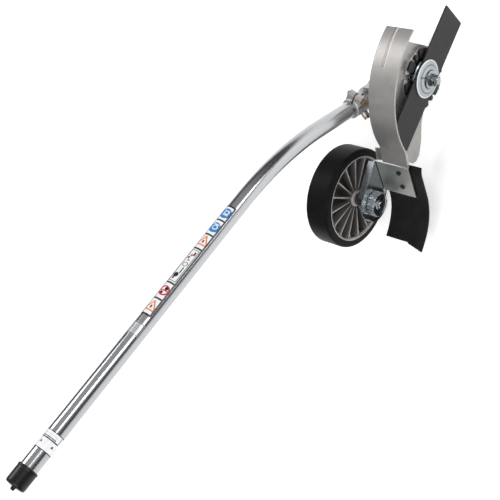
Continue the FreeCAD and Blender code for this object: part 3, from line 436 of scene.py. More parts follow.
# finishes that need nothing beyond the common surface
PLAIN = {
    # plated sheet of the rear plate, faintly green, with a rolled grain
    "plate": dict(name="plate_sheet", base=(0.46, 0.47, 0.44), tone=(0.43, 0.44, 0.415), metal=0.85,
                  rough=(0.3, 0.33), scale=60.0, stretch=(1, 0.3, 1), bump=0.01, depth=0.01, edge=0.5,
                  worn=(0.85, 0.85, 0.83), wear=0.9, dust=0.01),
    # darker zinc of the castle nut and its cotter, with crisp edges
    "nut": dict(name="nut_zinc", base=(0.34, 0.37, 0.375), tone=(0.30, 0.33, 0.335), metal=1.0, rough=(0.24, 0.28),
                scale=420.0, bump=0.01, depth=0.01, edge=0.12, worn=(0.7, 0.72, 0.73), wear=0.5),
    # machined steel
    "steel": dict(name="machined_steel", base=(0.48, 0.48, 0.49), tone=(0.38, 0.38, 0.39), metal=1.0,
                  rough=(0.22, 0.36), scale=520.0, bump=0.12, depth=0.02, edge=0.3, worn=(0.7, 0.7, 0.7),
                  wear=0.4, scuffs=0.15),
    # tumbled aluminium casting
    "cast": dict(name="cast_alloy", base=(0.50, 0.495, 0.485), tone=(0.40, 0.395, 0.385), metal=0.85,
                 rough=(0.36, 0.52), scale=700.0, bump=0.35, depth=0.08, edge=0.9, worn=(0.74, 0.74, 0.73),
                 wear=0.6, dust=0.08),
    # black oxide on screws and bolts
    "black": dict(name="black_oxide", base=(0.010, 0.010, 0.011), tone=(0.018, 0.018, 0.019), metal=0.3,
                  rough=(0.3, 0.45), scale=600.0, bump=0.12, depth=0.03, edge=0.3, worn=(0.12, 0.12, 0.12),
                  wear=0.4, gloss=0.35),
    # yellow chromate on the clamp's screws, brown at the edges
    "chromate": dict(name="chromate_steel", base=(0.30, 0.20, 0.12), tone=(0.20, 0.13, 0.08), metal=0.9,
                     rough=(0.28, 0.4), scale=700.0, bump=0.12, depth=0.03, edge=0.4, worn=(0.55, 0.42, 0.28),
                     wear=0.6),
    # sintered bronze of the bushes
    "bronze": dict(name="bronze", base=(0.20, 0.15, 0.105), tone=(0.15, 0.11, 0.075), metal=1.0, rough=(0.3, 0.45),
                   scale=900.0, bump=0.2, depth=0.03, edge=0.3, worn=(0.7, 0.5, 0.28), wear=0.4),
    "seal": rubber("seal_rubber", (0.02, 0.02, 0.02), (0.5, 0.65), 0.0),
    "plastic": plastic("black_plastic", (0.008, 0.008, 0.009), (0.34, 0.5)),
    "vinyl": plastic("cap_vinyl", (0.006, 0.006, 0.006), (0.26, 0.36), 0.2),
    "liner": plastic("liner_plastic", (0.74, 0.73, 0.69), (0.4, 0.5)),
}


# --- printed labels
class Ink:
    """Draws flat marks on a label, in millimetres along and across it."""

    edge = 0.16

    def __init__(self, tree):
        self.tree = tree
        at = split(tree, tree.nodes.new("ShaderNodeTexCoord").outputs["UV"])
        self.along, self.across = at["X"], at["Y"]

    def maths(self, operation, *values):
        return maths(self.tree, operation, *values)

    def filled(self, distance):
        """A mask that is one where the distance is below zero."""
        return remap(self.tree, distance, -self.edge, self.edge, 1.0, 0.0)

    def outlined(self, distance, width):
        """A mask of a line of the given width on the shape's edge."""
        return self.filled(self.maths("SUBTRACT", self.maths("ABSOLUTE", distance), width / 2))

    def box(self, along, across, long, wide):
        """Distance to a rectangle."""
        sides = (self.maths("SUBTRACT", away(self.tree, value, middle), size / 2)
                 for value, middle, size in ((self.along, along, long), (self.across, across, wide)))
        return self.maths("MAXIMUM", *sides)

    def disc(self, along, across, radius):
        """Distance to a disc."""
        squares = (self.maths("POWER", away(self.tree, value, middle), 2.0)
                   for value, middle in ((self.along, along), (self.across, across)))
        return self.maths("SUBTRACT", self.maths("SQRT", self.maths("ADD", *squares)), radius)

    def triangle(self, along, across, size):
        """Distance to a triangle that points towards the head."""
        run = self.maths("SUBTRACT", self.along, along)
        side = self.maths("ADD", self.maths("MULTIPLY", away(self.tree, self.across, across), 0.866),
                          self.maths("MULTIPLY", run, -0.5))
        return self.maths("SUBTRACT", self.maths("MAXIMUM", side, run), size / 2)

    def join(self, total, *masks):
        """The union of several masks."""
        for mask in masks:
            total = self.maths("MAXIMUM", total, mask)
        return total

    def bars(self, *sizes):
        """Filled rectangles."""
        return self.join(*(self.filled(self.box(*size)) for size in sizes))

    def dots(self, *sizes):
        """Filled discs."""
        return self.join(*(self.filled(self.disc(*size)) for size in sizes))

    def only(self, mask, inside):
        """A mask kept only inside another."""
        return self.maths("MULTIPLY", mask, inside)


BLUE, ORANGE, RED, PINK = (0.02, 0.22, 0.55), (0.80, 0.22, 0.05), (0.62, 0.02, 0.04), (0.60, 0.16, 0.16)
BLACK, WHITE, CLEAR = (0.01, 0.01, 0.012), (0.86, 0.87, 0.89), (0.60, 0.61, 0.63)


def safety_strip(ink):
    """The long strip: two blue discs, a triangle, a drawing panel, a red ring and a triangle."""
    rules = ink.join(ink.outlined(ink.box(86, 0, 169.8, 14.0), 2.3), ink.outlined(ink.box(96.4, 0, 47.5, 9.8), 0.8),
                     ink.bars(*((at, 0, 2.2, 15.6) for at in (23.2, 46.8, 69.6, 123.3, 147.6))))
    white = ink.join(ink.outlined(ink.box(10.6, 0.6, 4.6, 5.2), 1.3), ink.outlined(ink.disc(34.8, 0.4, 3.0), 1.3),
                     ink.bars((14.6, 0, 1.1, 7.6), (30.4, 0, 1.2, 8.0)))
    blue = ink.only(ink.dots((12.0, 0, 7.4), (35.0, 0, 7.4)), ink.maths("SUBTRACT", 1.0, white))
    orange = ink.join(*(ink.outlined(ink.triangle(at, 0, 8.4), 1.9) for at in (58.8, 160.4)))
    ring = ink.disc(135.4, 0, 6.0)
    red = ink.join(ink.outlined(ring, 2.1), ink.only(ink.bars((135.4, 0, 1.6, 12.0)), ink.filled(ring)))
    details = ink.join(
        ink.bars((58.2, 0, 4.2, 2.1), (160.0, 0, 4.2, 2.1), (138.6, -1.6, 3.4, 3.8), (78.0, 2.4, 5.2, 2.2),
                 (103.5, 1.8, 9.0, 1.5), (115.6, -1.8, 3.6, 2.6)),
        ink.dots((132.4, 1.7, 2.3), (84.4, -2.0, 1.6), (111.0, -1.0, 3.3)),
        ink.outlined(ink.disc(94.5, 0.3, 2.8), 0.9))
    pink = ink.join(ink.dots((80.6, -0.2, 1.9)), ink.bars((88.0, 0.4, 2.2, 3.4)))
    return (blue, BLUE), (orange, ORANGE), (red, RED), (pink, PINK), (ink.join(rules, details), BLACK)


def end_band(ink):
    """The end band: a heavy frame, a fine rule and two arrow heads."""
    lines = ink.bars((23.4, 0, 1.2, 40), (0.5, 0, 1.0, 40), (9.6, 0, 1.5, 25.0), (5.3, 12.2, 9.8, 1.1),
                     (7.6, -2.0, 1.0, 18.0))
    arrows = [ink.filled(ink.triangle(15.6, at, 2.4)) for at in (-7.6, 8.2)]
    return (ink.join(lines, *arrows), BLACK), (ink.bars((4.3, -1.0, 0.5, 17.0)), (0.45, 0.45, 0.47))


def rating_mark(ink):
    """The small clear tag: a thin dark outline and a few plain rules."""
    rules = ink.bars(*((at, -1.5, 0.6, 9.0) for at in (5.0, 8.2, 11.4)))
    return (ink.outlined(ink.box(8.5, 0, 15.0, 15.4), 0.9), (0.12, 0.12, 0.13)), (rules, (0.34, 0.34, 0.36))


def label_finish(name, base, draw, metal=0.0):
    """Printed film: clean base colour, crisp marks, a slight gloss and faint scuffs."""
    material, tree, shader, _, colour = surface(
        name, base, darker(base, 0.95), metal, (0.24, 0.34), scale=1.2, bump=0.04,
        depth=0.02, edge=0.2, worn=(0.7, 0.7, 0.7), wear=0.2, scuffs=0.1, along_uv=True)
    for mask, tint in draw(Ink(tree)):
        colour = blend_colour(tree, mask, colour, tint)
    wire(tree, shader, {"Base Color": colour})
    return material


FINISHES = {}


def finish(name):
    """A finish of the edger by name, built once."""
    tint = {key: tuple(getattr(bpy.context.scene.edger_finish, key)) for key in FinishSettings.__annotations__}
    looks = {
        # drawn aluminium, lightly polished, with faint drawing lines
        "tube": lambda: surface(
            "tube_aluminium", tint["tube"], darker(tint["tube"], 0.93), 1.0, (0.17, 0.22), scale=1.0,
            stretch=(14, 1800, 1), bump=0.03, depth=0.02, edge=0.5, worn=(0.86, 0.86, 0.88), scuffs=0.08,
            along_uv=True)[0],
        # dark satin coat on the flat blade, rubbed bright on its edges
        "blade": lambda: surface(
            "blade_coat", tint["blade"], darker(tint["blade"], 0.82), 0.2, (0.4, 0.5), scale=480.0,
            stretch=(1, 1, 0.3), bump=0.12, depth=0.03, edge=0.45, worn=(0.20, 0.20, 0.20), wear=0.7,
            scuffs=0.12, dust=0.02, gloss=0.3)[0],
        "flap": lambda: surface(**rubber("flap_rubber", tint["rubber"], (0.5, 0.62), 0.015))[0],
        "tyre": lambda: surface(**rubber("tyre_rubber", tint["tyre"], (0.36, 0.46), 0.003, 0.06))[0],
        "guard": lambda: guard_finish(tint["guard"]),
        "wheel": lambda: wheel_finish(tint["wheel"]),
        "zinc": zinc_finish,
        "turned": turned_finish,
        "strip": lambda: label_finish("label_strip", WHITE, safety_strip),
        "band": lambda: label_finish("label_band", WHITE, end_band),
        "rating": lambda: label_finish("label_clear", CLEAR, rating_mark, 0.6),
    }
    if name not in FINISHES:
        FINISHES[name] = looks[name]() if name in looks else surface(**PLAIN[name])[0]
    return FINISHES[name]


# --- mesh helpers
def keep(name, mesh, material, body, replaced):
    """Makes a finished piece of a mesh that is already in place, and gives it to its body."""
    made = bpy.data.objects.new(name, mesh)
    bpy.context.scene.collection.objects.link(made)
    mesh.materials.clear()
    mesh.materials.append(material)
    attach(made, body)
    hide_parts(*replaced)


def dress(look, *nodes):
    """Gives CAD nodes a finish."""
    for node in nodes:
        materials = frame["nodes"][node].data.materials
        materials.clear()
        materials.append(finish(look))


def closed(build, name):
    """Turns a bmesh into a mesh."""
    mesh = bpy.data.meshes.new(name)
    build.to_mesh(mesh)
    build.free()
    return mesh


def mesh_from(build, name):
    """Turns a bmesh into a smooth mesh: doubles merged, faces outwards."""
    bmesh.ops.remove_doubles(build, verts=build.verts, dist=1e-6)
    bmesh.ops.recalc_face_normals(build, faces=build.faces)
    for face in build.faces:
        face.smooth = True
    return closed(build, name)


def pairs(count):
    """Each index round a ring, with the next."""
    return [(i, (i + 1) % count) for i in range(count)]


def tube_faces(build, first, second):
    """Four-sided faces between two rings of corners."""
    for i, j in pairs(len(first)):
        build.faces.new((first[i], first[j], second[j], second[i]))


def soften(build, angle, offset, segments):
    """Rounds the edges sharper than an angle in degrees."""
    bmesh.ops.recalc_face_normals(build, faces=build.faces)
    sharp = [edge for edge in build.edges if edge.is_manifold and edge.calc_face_angle() > math.radians(angle)]
    bmesh.ops.bevel(build, geom=sharp, offset=offset, segments=segments, affect="EDGES", profile=0.5)


def in_metres(corners):
    """Corners given in millimetres."""
    return [tuple(value * MM for value in corner) for corner in corners]


def shaded(mesh, angle):
    """Marks edges sharper than the angle, in degrees, so flats stay flat."""
    mesh.set_sharp_from_angle(angle=math.radians(angle))
    return mesh


def rounded(corners, radius, steps=4, is_ring=True):
    """An outline whose corners are rounded; a corner may carry its own radius."""
    points = []
    count = len(corners)
    for index, corner in enumerate(corners):
        here = Vector(corner[:2])
        own = corner[2] if len(corner) > 2 else radius
        if own <= 0 or (not is_ring and index in (0, count - 1)):
            points.append(here)
            continue
        before = Vector(corners[index - 1][:2]) - here
        after = Vector(corners[(index + 1) % count][:2]) - here
        reach = min(own, before.length * 0.49, after.length * 0.49)
        start, end = here + before.normalized() * reach, here + after.normalized() * reach
        for step in range(steps + 1):
            t = step / steps
            points.append(start * (1 - t) ** 2 + here * 2 * t * (1 - t) + end * t ** 2)
    return points


def lathe(name, outline, place_at=AS_IS, sides=96):
    """A turned piece: the outline is (radius, along) points about the local z axis."""
    build = bmesh.new()
    on_axis = 1e-7
    rings = []
    for radius, along in outline:
        if radius < on_axis:
            rings.append([build.verts.new((0, 0, along))] * sides)
            continue
        rings.append([build.verts.new((radius * math.cos(turn), radius * math.sin(turn), along))
                      for turn in (2 * math.pi * i / sides for i in range(sides))])
    solid = outline[0][0] < on_axis and outline[-1][0] < on_axis
    for low, high in zip(rings, rings[1:] + ([] if solid else rings[:1])):
        for i, j in pairs(sides):
            corners = list(dict.fromkeys((low[i], low[j], high[j], high[i])))
            if len(corners) > 2:
                build.faces.new(corners)
    mesh = mesh_from(build, name)
    mesh.transform(place_at)
    return mesh


def slab(name, outline, low, high, bevel, segments):
    """A flat piece with rounded edges: the outline is padded between two heights."""
    build = bmesh.new()
    bottom, top = ([build.verts.new((*point, height)) for point in outline] for height in (low, high))
    build.faces.new(bottom[::-1])
    build.faces.new(top)
    tube_faces(build, bottom, top)
    soften(build, 50, bevel, segments)
    return mesh_from(build, name)


def joined(name, *meshes):
    """One mesh of several."""
    build = bmesh.new()
    for mesh in meshes:
        build.from_mesh(mesh)
        bpy.data.meshes.remove(mesh)
    return closed(build, name)


# --- geometry nodes
def ring_tree():
    """Copies of a part in a ring about its own z axis."""
    tree = bpy.data.node_groups.new("ring_of_copies", "GeometryNodeTree")
    for label, way, kind in (("Geometry", "INPUT", "Geometry"), ("Count", "INPUT", "Int"),
                             ("Material", "INPUT", "Material"), ("Geometry", "OUTPUT", "Geometry")):
        tree.interface.new_socket(label, in_out=way, socket_type="NodeSocket" + kind)
    ins, outs = tree.nodes.new("NodeGroupInput").outputs, tree.nodes.new("NodeGroupOutput")
    spots = add(tree, "GeometryNodeMeshLine", {"Count": ins["Count"], "Offset": (0, 0, 0)}).outputs[0]
    share = maths(tree, "DIVIDE", tree.nodes.new("GeometryNodeInputIndex").outputs[0], ins["Count"])
    turn = add(tree, "ShaderNodeCombineXYZ", {"Z": product(tree, share, 2 * math.pi)}).outputs[0]
    turned = add(tree, "FunctionNodeEulerToRotation", {0: turn}).outputs[0]
    copies = add(tree, "GeometryNodeInstanceOnPoints", {
        "Points": spots, "Instance": ins["Geometry"], "Rotation": turned}).outputs[0]
    real = add(tree, "GeometryNodeRealizeInstances", {0: copies}).outputs[0]
    painted = add(tree, "GeometryNodeSetMaterial", {"Geometry": real, "Material": ins["Material"]})
    wire(tree, outs, {0: painted.outputs[0]})
    return tree


def in_a_ring(name, part, count, material):
    """A plain mesh of copies of a part, in a ring about the z axis."""
    if "ring" not in SHARED:
        SHARED["ring"] = ring_tree()
    seed = bpy.data.objects.new(name + "_seed", part)
    bpy.context.scene.collection.objects.link(seed)
    copier = seed.modifiers.new("ring", "NODES")
    copier.node_group = SHARED["ring"]
    values = {"Count": count, "Material": material}
    for item in copier.node_group.interface.items_tree:
        if item.in_out == "INPUT" and item.name in values:
            copier[item.identifier] = values[item.name]
    bpy.context.view_layer.update()
    mesh = bpy.data.meshes.new_from_object(seed.evaluated_get(bpy.context.evaluated_depsgraph_get()))
    mesh.name = name
    bpy.data.objects.remove(seed)
    return mesh


# --- tube, labels and cap
def tube_path(settings):
    """Points and directions of the tube's centre line, in metres from the head."""
    head = HEAD.to_3x3()
    rise = head @ Vector((0, 0, 1))
    end_way = Vector(END_JOINT["axis"])
    turn = rise.angle(end_way)
    hinge = rise.cross(end_way).normalized()
    start = HEAD.translation + rise * settings.seat
    corner = HEAD.translation + rise * settings.bend_start
    inward = hinge.cross(rise)
    centre = corner + inward * settings.bend_radius
    path = [(start, rise)]
    steps = 28
    for step in range(steps + 1):
        swing = Matrix.Rotation(turn * step / steps, 3, hinge)
        path.append((centre - swing @ (inward * settings.bend_radius), swing @ rise))
    path.append((Vector(END_JOINT["pos_m"]), end_way))
    return path, hinge


def mapped_face(build, layer, corners, marks):
    """A smooth face with its UVs."""
    face = build.faces.new(corners)
    face.smooth = True
    for loop, mark in zip(face.loops, marks):
        loop[layer].uv = mark


def tube_mesh(settings):
    """The bent tube with its wall, and UVs that run along and round it in metres."""
    path, hinge = tube_path(settings)
    build = bmesh.new()
    layer = build.loops.layers.uv.new("UVMap")
    turns = [2 * math.pi * i / settings.sides for i in range(settings.sides)]
    rings = []
    walked = 0.0
    last = path[0][0]
    for spot, way in path:
        walked += (spot - last).length
        last = spot
        side = hinge.cross(way).normalized()
        rings.append((walked, [
            [build.verts.new(spot + (hinge * math.cos(turn) + side * math.sin(turn)) * radius) for turn in turns]
            for radius in (settings.radius, settings.radius - settings.wall)]))
    facet = 2 * math.pi * settings.radius / settings.sides

    def band(first, second, start, end):
        for i, j in pairs(settings.sides):
            near, far = i * facet, (i + 1) * facet
            mapped_face(build, layer, (first[i], first[j], second[j], second[i]),
                        ((start, near), (start, far), (end, far), (end, near)))

    for (start, first), (end, second) in zip(rings, rings[1:]):
        for one, two in zip(first, second):
            band(one, two, start, end)
    for start, (outer, inner) in (rings[0], rings[-1]):
        band(outer, inner, start, start + settings.wall)
    bmesh.ops.recalc_face_normals(build, faces=build.faces)
    return shaded(closed(build, "drive_tube"), 40)


def film_mesh(name, settings, centre, reach, low, high):
    """A thin film wrapped on the tube; its UVs are millimetres along and across it."""
    across, along = 28, 16
    build = bmesh.new()
    layer = build.loops.layers.uv.new("UVMap")
    under = settings.radius + 0.02 * MM
    grid = {}
    for skin, radius in enumerate((under, under + settings.film)):
        for i in range(across + 1):
            turn = math.radians(centre + reach * (i / across - 0.5))
            for j in range(along + 1):
                height = (low + (high - low) * j / along) * MM
                grid[skin, i, j] = build.verts.new((radius * math.cos(turn), radius * math.sin(turn), height))
    arc = math.radians(reach) * settings.radius / MM

    def quad(*keys):
        mapped_face(build, layer, [grid[key] for key in keys],
                    [((high - low) * j / along, arc * (0.5 - i / across)) for _, i, j in keys])

    for i in range(across):
        for j in range(along):
            for skin in (0, 1):
                quad((skin, i, j), (skin, i + 1, j), (skin, i + 1, j + 1), (skin, i, j + 1))
    for j in range(along):
        for i in (0, across):
            quad((0, i, j), (0, i, j + 1), (1, i, j + 1), (1, i, j))
    for i in range(across):
        for j in (0, along):
            quad((0, i, j), (0, i + 1, j), (1, i + 1, j), (1, i, j))
    bmesh.ops.recalc_face_normals(build, faces=build.faces)
    mesh = closed(build, name)
    mesh.transform(TUBE_END)
    return shaded(mesh, 40)


def cap_mesh():
    """The vinyl cap: a beaded mouth, soft walls, a rounded end and its moulding nub."""
    outline = [(0, 1.0), (11.3, 1.0), (11.3, -20.0), (12.4, -20.0), (12.95, -19.4), (12.95, -17.8), (12.5, -17.0),
               (12.45, 0.8), (11.9, 3.2), (10.6, 4.0), (8.6, 4.3), (7.9, 3.9), (3.4, 4.0), (2.7, 5.0), (2.6, 7.4),
               (1.8, 8.45), (0, 8.5)]
    soft = rounded(in_metres(outline), 0.6 * MM, 3, is_ring=False)
    return shaded(lathe("end_cap", soft, TUBE_END, 72), 60)


# each film: its node and look, its middle and width in degrees round the tube, its ends in
# millimetres from the tube's open end
FILMS = (("warning_label", "strip", 262, 84, -403, -231), ("end_label", "band", 235, 170, -66, -42),
         ("rating_label", "rating", 255, 90, -220, -203))


class EDGER_OT_tube(bpy.types.Operator):
    """Builds the drive tube, its drive line, its printed films and the vinyl cap"""

    bl_idname = "edger.tube"
    bl_label = "Drive tube and labels"

    def execute(self, context):
        sizes = context.scene.edger_tube
        keep("drive_tube.skin", tube_mesh(sizes), finish("tube"), "head", ("drive_tube",))
        for node, look, *spread in FILMS:
            keep(node + ".film", film_mesh(node, sizes, *spread), finish(look), "head", (node,))
        keep("end_cap.shell", cap_mesh(), finish("vinyl"), "cap", ("end_cap",))
        dress("liner", "cable_liner")
        dress("steel", "drive_cable", "drive_end")
        dress("bronze", "drive_end_bush")
        return {"FINISHED"}


# --- gear head
class EDGER_OT_gear_head(bpy.types.Operator):
    """Finishes the gear case, its bearings, gears and screws"""

    bl_idname = "edger.gear_head"
    bl_label = "Gear head"

    def execute(self, context):
        dress("cast", "gear_case", "gear_cover", "guard_flange")
        dress("steel", "spindle", "bevel_gear", "pinion_shaft", "pinion_snap_ring", "spindle_bearing_front",
              "spindle_bearing_back", "pinion_bearing_inner", "pinion_bearing_outer")
        dress("zinc", "grease_plug")
        dress("chromate", "clamp_screw", "locating_screw")
        dress("black", "cover_screws", "guard_bolts")
        dress("seal", "shaft_seal")
        dress("plastic", "wrap_guard")
        return {"FINISHED"}


# --- blade group
class EDGER_OT_blade(bpy.types.Operator):
    """Finishes the blade, its holder and the nut stack"""

    bl_idname = "edger.blade"
    bl_label = "Blade group"

    def execute(self, context):
        dress("blade", "blade")
        dress("zinc", "blade_holder", "nut_collar")
        dress("turned", "clamp_washer")
        dress("nut", "castle_nut", "cotter_pin")
        return {"FINISHED"}


# --- guard and flaps
def along_line(points, spots):
    """Places and forward directions at the given distances along a chain of points."""
    found = []
    for spot in spots:
        left = spot
        for first, second in zip(points, points[1:]):
            step = (second - first).length
            if left <= step or second is points[-1]:
                found.append((first + (second - first) * (left / step), (second - first).normalized()))
                break
            left -= step
    return found


def flap_mesh(name, corners, near, far, thick, short=0.0):
    """A rubber sheet bent along its corners and swept across, edges soft, slightly wavy at its end.

    Sizes are in millimetres; the near side may be cut short, so that the end is slanted.
    """
    columns, runs = 28, 40
    wave_height, across_pitch, along_pitch = 0.45, 4.6, 0.14
    line = rounded(corners, 7.0, 6, is_ring=False)
    total = sum((second - first).length for first, second in zip(line, line[1:]))
    build = bmesh.new()
    rows = []
    for column in range(columns + 1):
        share = column / columns
        across = near + (far - near) * share
        reach = total - short * (1 - share)
        upper, lower = [], []
        for index, (spot, way) in enumerate(along_line(line, [reach * i / runs for i in range(runs + 1)])):
            free = max(0.0, index / runs - 0.5) * 2
            wave = wave_height * free * (1 + math.sin(share * across_pitch + index * along_pitch))
            lift = Vector((-way.y, way.x)) if way.x > 0 else Vector((way.y, -way.x))
            for ring, half in ((upper, thick / 2), (lower, -thick / 2)):
                point = spot + lift * (half + wave * 0.5)
                ring.append(build.verts.new((point.x * MM, -across * MM, point.y * MM)))
        rows.append(upper + lower[::-1])
    width = len(rows[0])
    for first, second in zip(rows, rows[1:]):
        tube_faces(build, first, second)
    for row in (rows[0], rows[-1]):
        for i in range(width // 2 - 1):
            build.faces.new((row[i], row[i + 1], row[width - 2 - i], row[width - 1 - i]))
    soften(build, 55, 0.5 * MM, 2)
    return shaded(mesh_from(build, name), 50)


# the sheets' middle lines, forward and up from the spindle, in millimetres
SHEET_THICK = 2.7
REAR_SHEET = ((-126, 38.1), (-161, 5.5), (-171.2, -2.9), (-181.4, -8.6), (-192.6, -12.3), (-204.8, -14.3),
              (-218, -14.5), (-230.1, -12.9))
SIDE_SHEET = ((-118.0, 39.5), (-127.2, 36.0), (-161.8, 3.7), (-171.2, -2.3), (-181.4, -7.6), (-192.6, -11.4),
              (-204.8, -13.3), (-218, -13.5), (-238.0, -10.2))


class EDGER_OT_guard(bpy.types.Operator):
    """Finishes the guard and plate, and builds the two rubber flaps"""

    bl_idname = "edger.guard"
    bl_label = "Guard and flaps"

    def execute(self, context):
        dress("guard", "guard")
        dress("plate", "rear_plate")
        dress("steel", "flap_retainer")
        dress("black", "flap_screws")
        dress("zinc", "flap_nuts")
        rear = flap_mesh("rear_flap", REAR_SHEET, -17.9, 19.9, SHEET_THICK)
        keep("rear_flap.sheet", rear, finish("flap"), "head", ("rear_flap",))
        side = flap_mesh("side_flap", SIDE_SHEET, 20.5, 46.3, SHEET_THICK, 6.9)
        keep("side_flap.sheet", side, finish("flap"), "head", ("side_flap",))
        return {"FINISHED"}


# --- wheel
def tyre_mesh(settings):
    """The solid tyre: round shoulders and a bead against the ring."""
    outer = WHEEL_HALF.x
    near = -(WHEEL_CENTRE.y - WHEEL_HALF.y)
    far = -(WHEEL_CENTRE.y + WHEEL_HALF.y)
    ring = settings.ring
    lip = 0.5 * MM
    soft = settings.shoulder
    outline = [(ring, far, 0.0), (ring + 0.8 * MM, far, lip), (outer, far, soft), (outer, near, soft),
               (ring + 0.8 * MM, near, lip), (ring, near, 0.0)]
    return shaded(lathe("tyre", rounded(outline, 0, 9), WHEEL, 128), 60)


def hub_core_mesh(settings):
    """The wheel's turned body: ring with rolled lips, web and hub with its bore."""
    near, far = -50.0, -88.0
    ring = settings.ring / MM
    hub = settings.hub / MM
    bore = settings.bore / MM
    outline = [(bore, -93.0, 0.3), (hub - 1.5, -93.0, 1.0), (hub, -88, 0.8), (hub, -71, 1.6), (ring - 4, -71, 1.6),
               (ring - 4, far, 0.5), (ring, far, 0.5), (ring, near, 0.8), (ring - 1.6, near, 0.8),
               (ring - 3.2, near - 2.2, 1.2), (ring - 4, -68, 1.6), (hub, -68, 2.5), (hub - 1.0, -56, 2.0),
               (hub - 3.5, -51, 2.0), (bore, -51, 0.3)]
    return lathe("hub_core", rounded(in_metres(outline), 0))


def spoke_mesh(settings):
    """One rib, tapered and rounded, with the short fork where it meets the ring."""
    hub, ring = settings.hub - 1.2 * MM, settings.ring - 3.6 * MM

    def rib(start, end, wide, front, back, front_end):
        build = bmesh.new()
        run = Vector((end[0] - start[0], end[1] - start[1], 0))
        side = Vector((-run.y, run.x, 0)).normalized() * wide / 2
        corners = []
        for spot, face in ((start, front), (end, front_end)):
            base = Vector((spot[0], spot[1], 0))
            corners.append([build.verts.new(base + side * a + Vector((0, 0, z)))
                            for a, z in ((-1, back), (1, back), (1, face), (-1, face))])
        tube_faces(build, *corners)
        build.faces.new(corners[0][::-1])
        build.faces.new(corners[1])
        bmesh.ops.recalc_face_normals(build, faces=build.faces)
        front_edges = [e for e in build.edges if all(v.co.z > max(back, front - 8 * MM) for v in e.verts)]
        bmesh.ops.bevel(build, geom=front_edges, offset=wide * 0.32, segments=2, affect="EDGES", profile=0.5)
        return mesh_from(build, "rib")

    back = -86 * MM
    main = rib((hub, 0), (ring, 0), 1.8 * MM, -53.4 * MM, back, -52.0 * MM)
    fork = ring - 9.5 * MM
    spread = ring * math.radians(5.0)
    arms = (rib((fork, 0), (ring - 0.4 * MM, way), 1.3 * MM, -54.6 * MM, -69 * MM, -53.0 * MM)
            for way in (spread, -spread))
    return joined("spoke", main, *arms)


class EDGER_OT_wheel(bpy.types.Operator):
    """Builds the tyre and the ribbed wheel, and finishes its bush"""

    bl_idname = "edger.wheel"
    bl_label = "Guide wheel"

    def execute(self, context):
        sizes = context.scene.edger_wheel
        keep("tyre.solid", tyre_mesh(sizes), finish("tyre"), "wheel", ("tyre",))
        spokes = in_a_ring("spokes", spoke_mesh(sizes), sizes.spokes, finish("wheel"))
        hub = joined("wheel_hub", hub_core_mesh(sizes), spokes)
        hub.transform(WHEEL)
        keep("wheel_hub.moulding", shaded(hub, 35), finish("wheel"), "wheel", ("wheel_hub",))
        dress("bronze", "wheel_bush")
        return {"FINISHED"}


def knob_mesh(settings, material):
    """The knurled knob: a turned body with a domed face, and a ring of rounded teeth."""
    back, face = -23.7, -13.5
    low, high = settings.axle / MM, settings.knob / MM
    core = high - 1.7
    outline = [(low, back, 0.2), (core, back, 0.8), (core, face + 2.4, 1.2), (core - 1.6, face + 0.9, 2.0),
               (core - 6.0, face, 3.0), (low + 2.2, face, 0.8), (low + 1.2, face + 0.8, 0.4), (low, face + 0.8, 0.2)]
    body = lathe("knob_body", rounded(in_metres(outline), 0))
    ridge = [(core - 0.6, -1.5), (high, -1.0), (high, 1.0), (core - 0.6, 1.5)]
    tooth = slab("tooth", in_metres(ridge), (back + 0.1) * MM, (face + 1.1) * MM, 0.45 * MM, 2)
    teeth = in_a_ring("teeth", tooth, settings.teeth, material)
    knob = joined("wheel_knob", body, teeth)
    knob.transform(WHEEL)
    return shaded(knob, 40)


class EDGER_OT_wheel_arm(bpy.types.Operator):
    """Finishes the wheel arm, its pivot and axle, and builds the knurled knob"""

    bl_idname = "edger.wheel_arm"
    bl_label = "Wheel arm"

    def execute(self, context):
        dress("zinc", "wheel_arm", "pivot_bolt", "pivot_nut", "pivot_washer", "axle_bolt", "axle_washer",
              "axle_spacer")
        knob = knob_mesh(context.scene.edger_wheel, finish("zinc"))
        keep("wheel_knob.knurled", knob, finish("zinc"), "knob", ("wheel_knob",))
        return {"FINISHED"}


# --- stage
# the camera's right, up and back directions, and its place in metres
CAMERA_AXES = (0.1804, -0.7356, -0.6530), (0.9650, 0.2610, -0.0274), (0.1906, -0.6251, 0.7569)
CAMERA_SPOT = (-0.0089, -0.750, 1.217)
LIGHT_TARGET = (-0.2, 0.05, 0.2)
FLOOR_REACH, FLOOR_GAP = 4.0, 0.5 * MM


def floor_mesh(height):
    """A broad plain floor."""
    build = bmesh.new()
    bmesh.ops.create_grid(build, x_segments=8, y_segments=8, size=FLOOR_REACH)
    mesh = closed(build, "floor")
    mesh.transform(Matrix.Translation((0, 0, height)))
    return mesh


def floor_finish(colour):
    """Matt paper sweep."""
    material, tree, shader, _, _ = surface("floor_paper", tuple(colour), darker(colour, 0.99), 0.0, (0.7, 0.8),
                                           scale=40.0, bump=0.02, depth=0.1, edge=0.1, gloss=0.1)
    wire(tree, shader, {"Emission Color": (1, 1, 1, 1), "Emission Strength": 0.42})
    return material


def soft_light(name, spot, wide, tall, power):
    """An area light aimed at the edger."""
    lamp = bpy.data.lights.new(name, "AREA")
    lamp.shape = "RECTANGLE"
    lamp.size, lamp.size_y = wide, tall
    lamp.energy = power
    made = bpy.data.objects.new(name, lamp)
    made.location = spot
    made.rotation_mode = "QUATERNION"
    made.rotation_quaternion = (Vector(LIGHT_TARGET) - Vector(spot)).to_track_quat("-Z", "Y")
    bpy.context.scene.collection.objects.link(made)


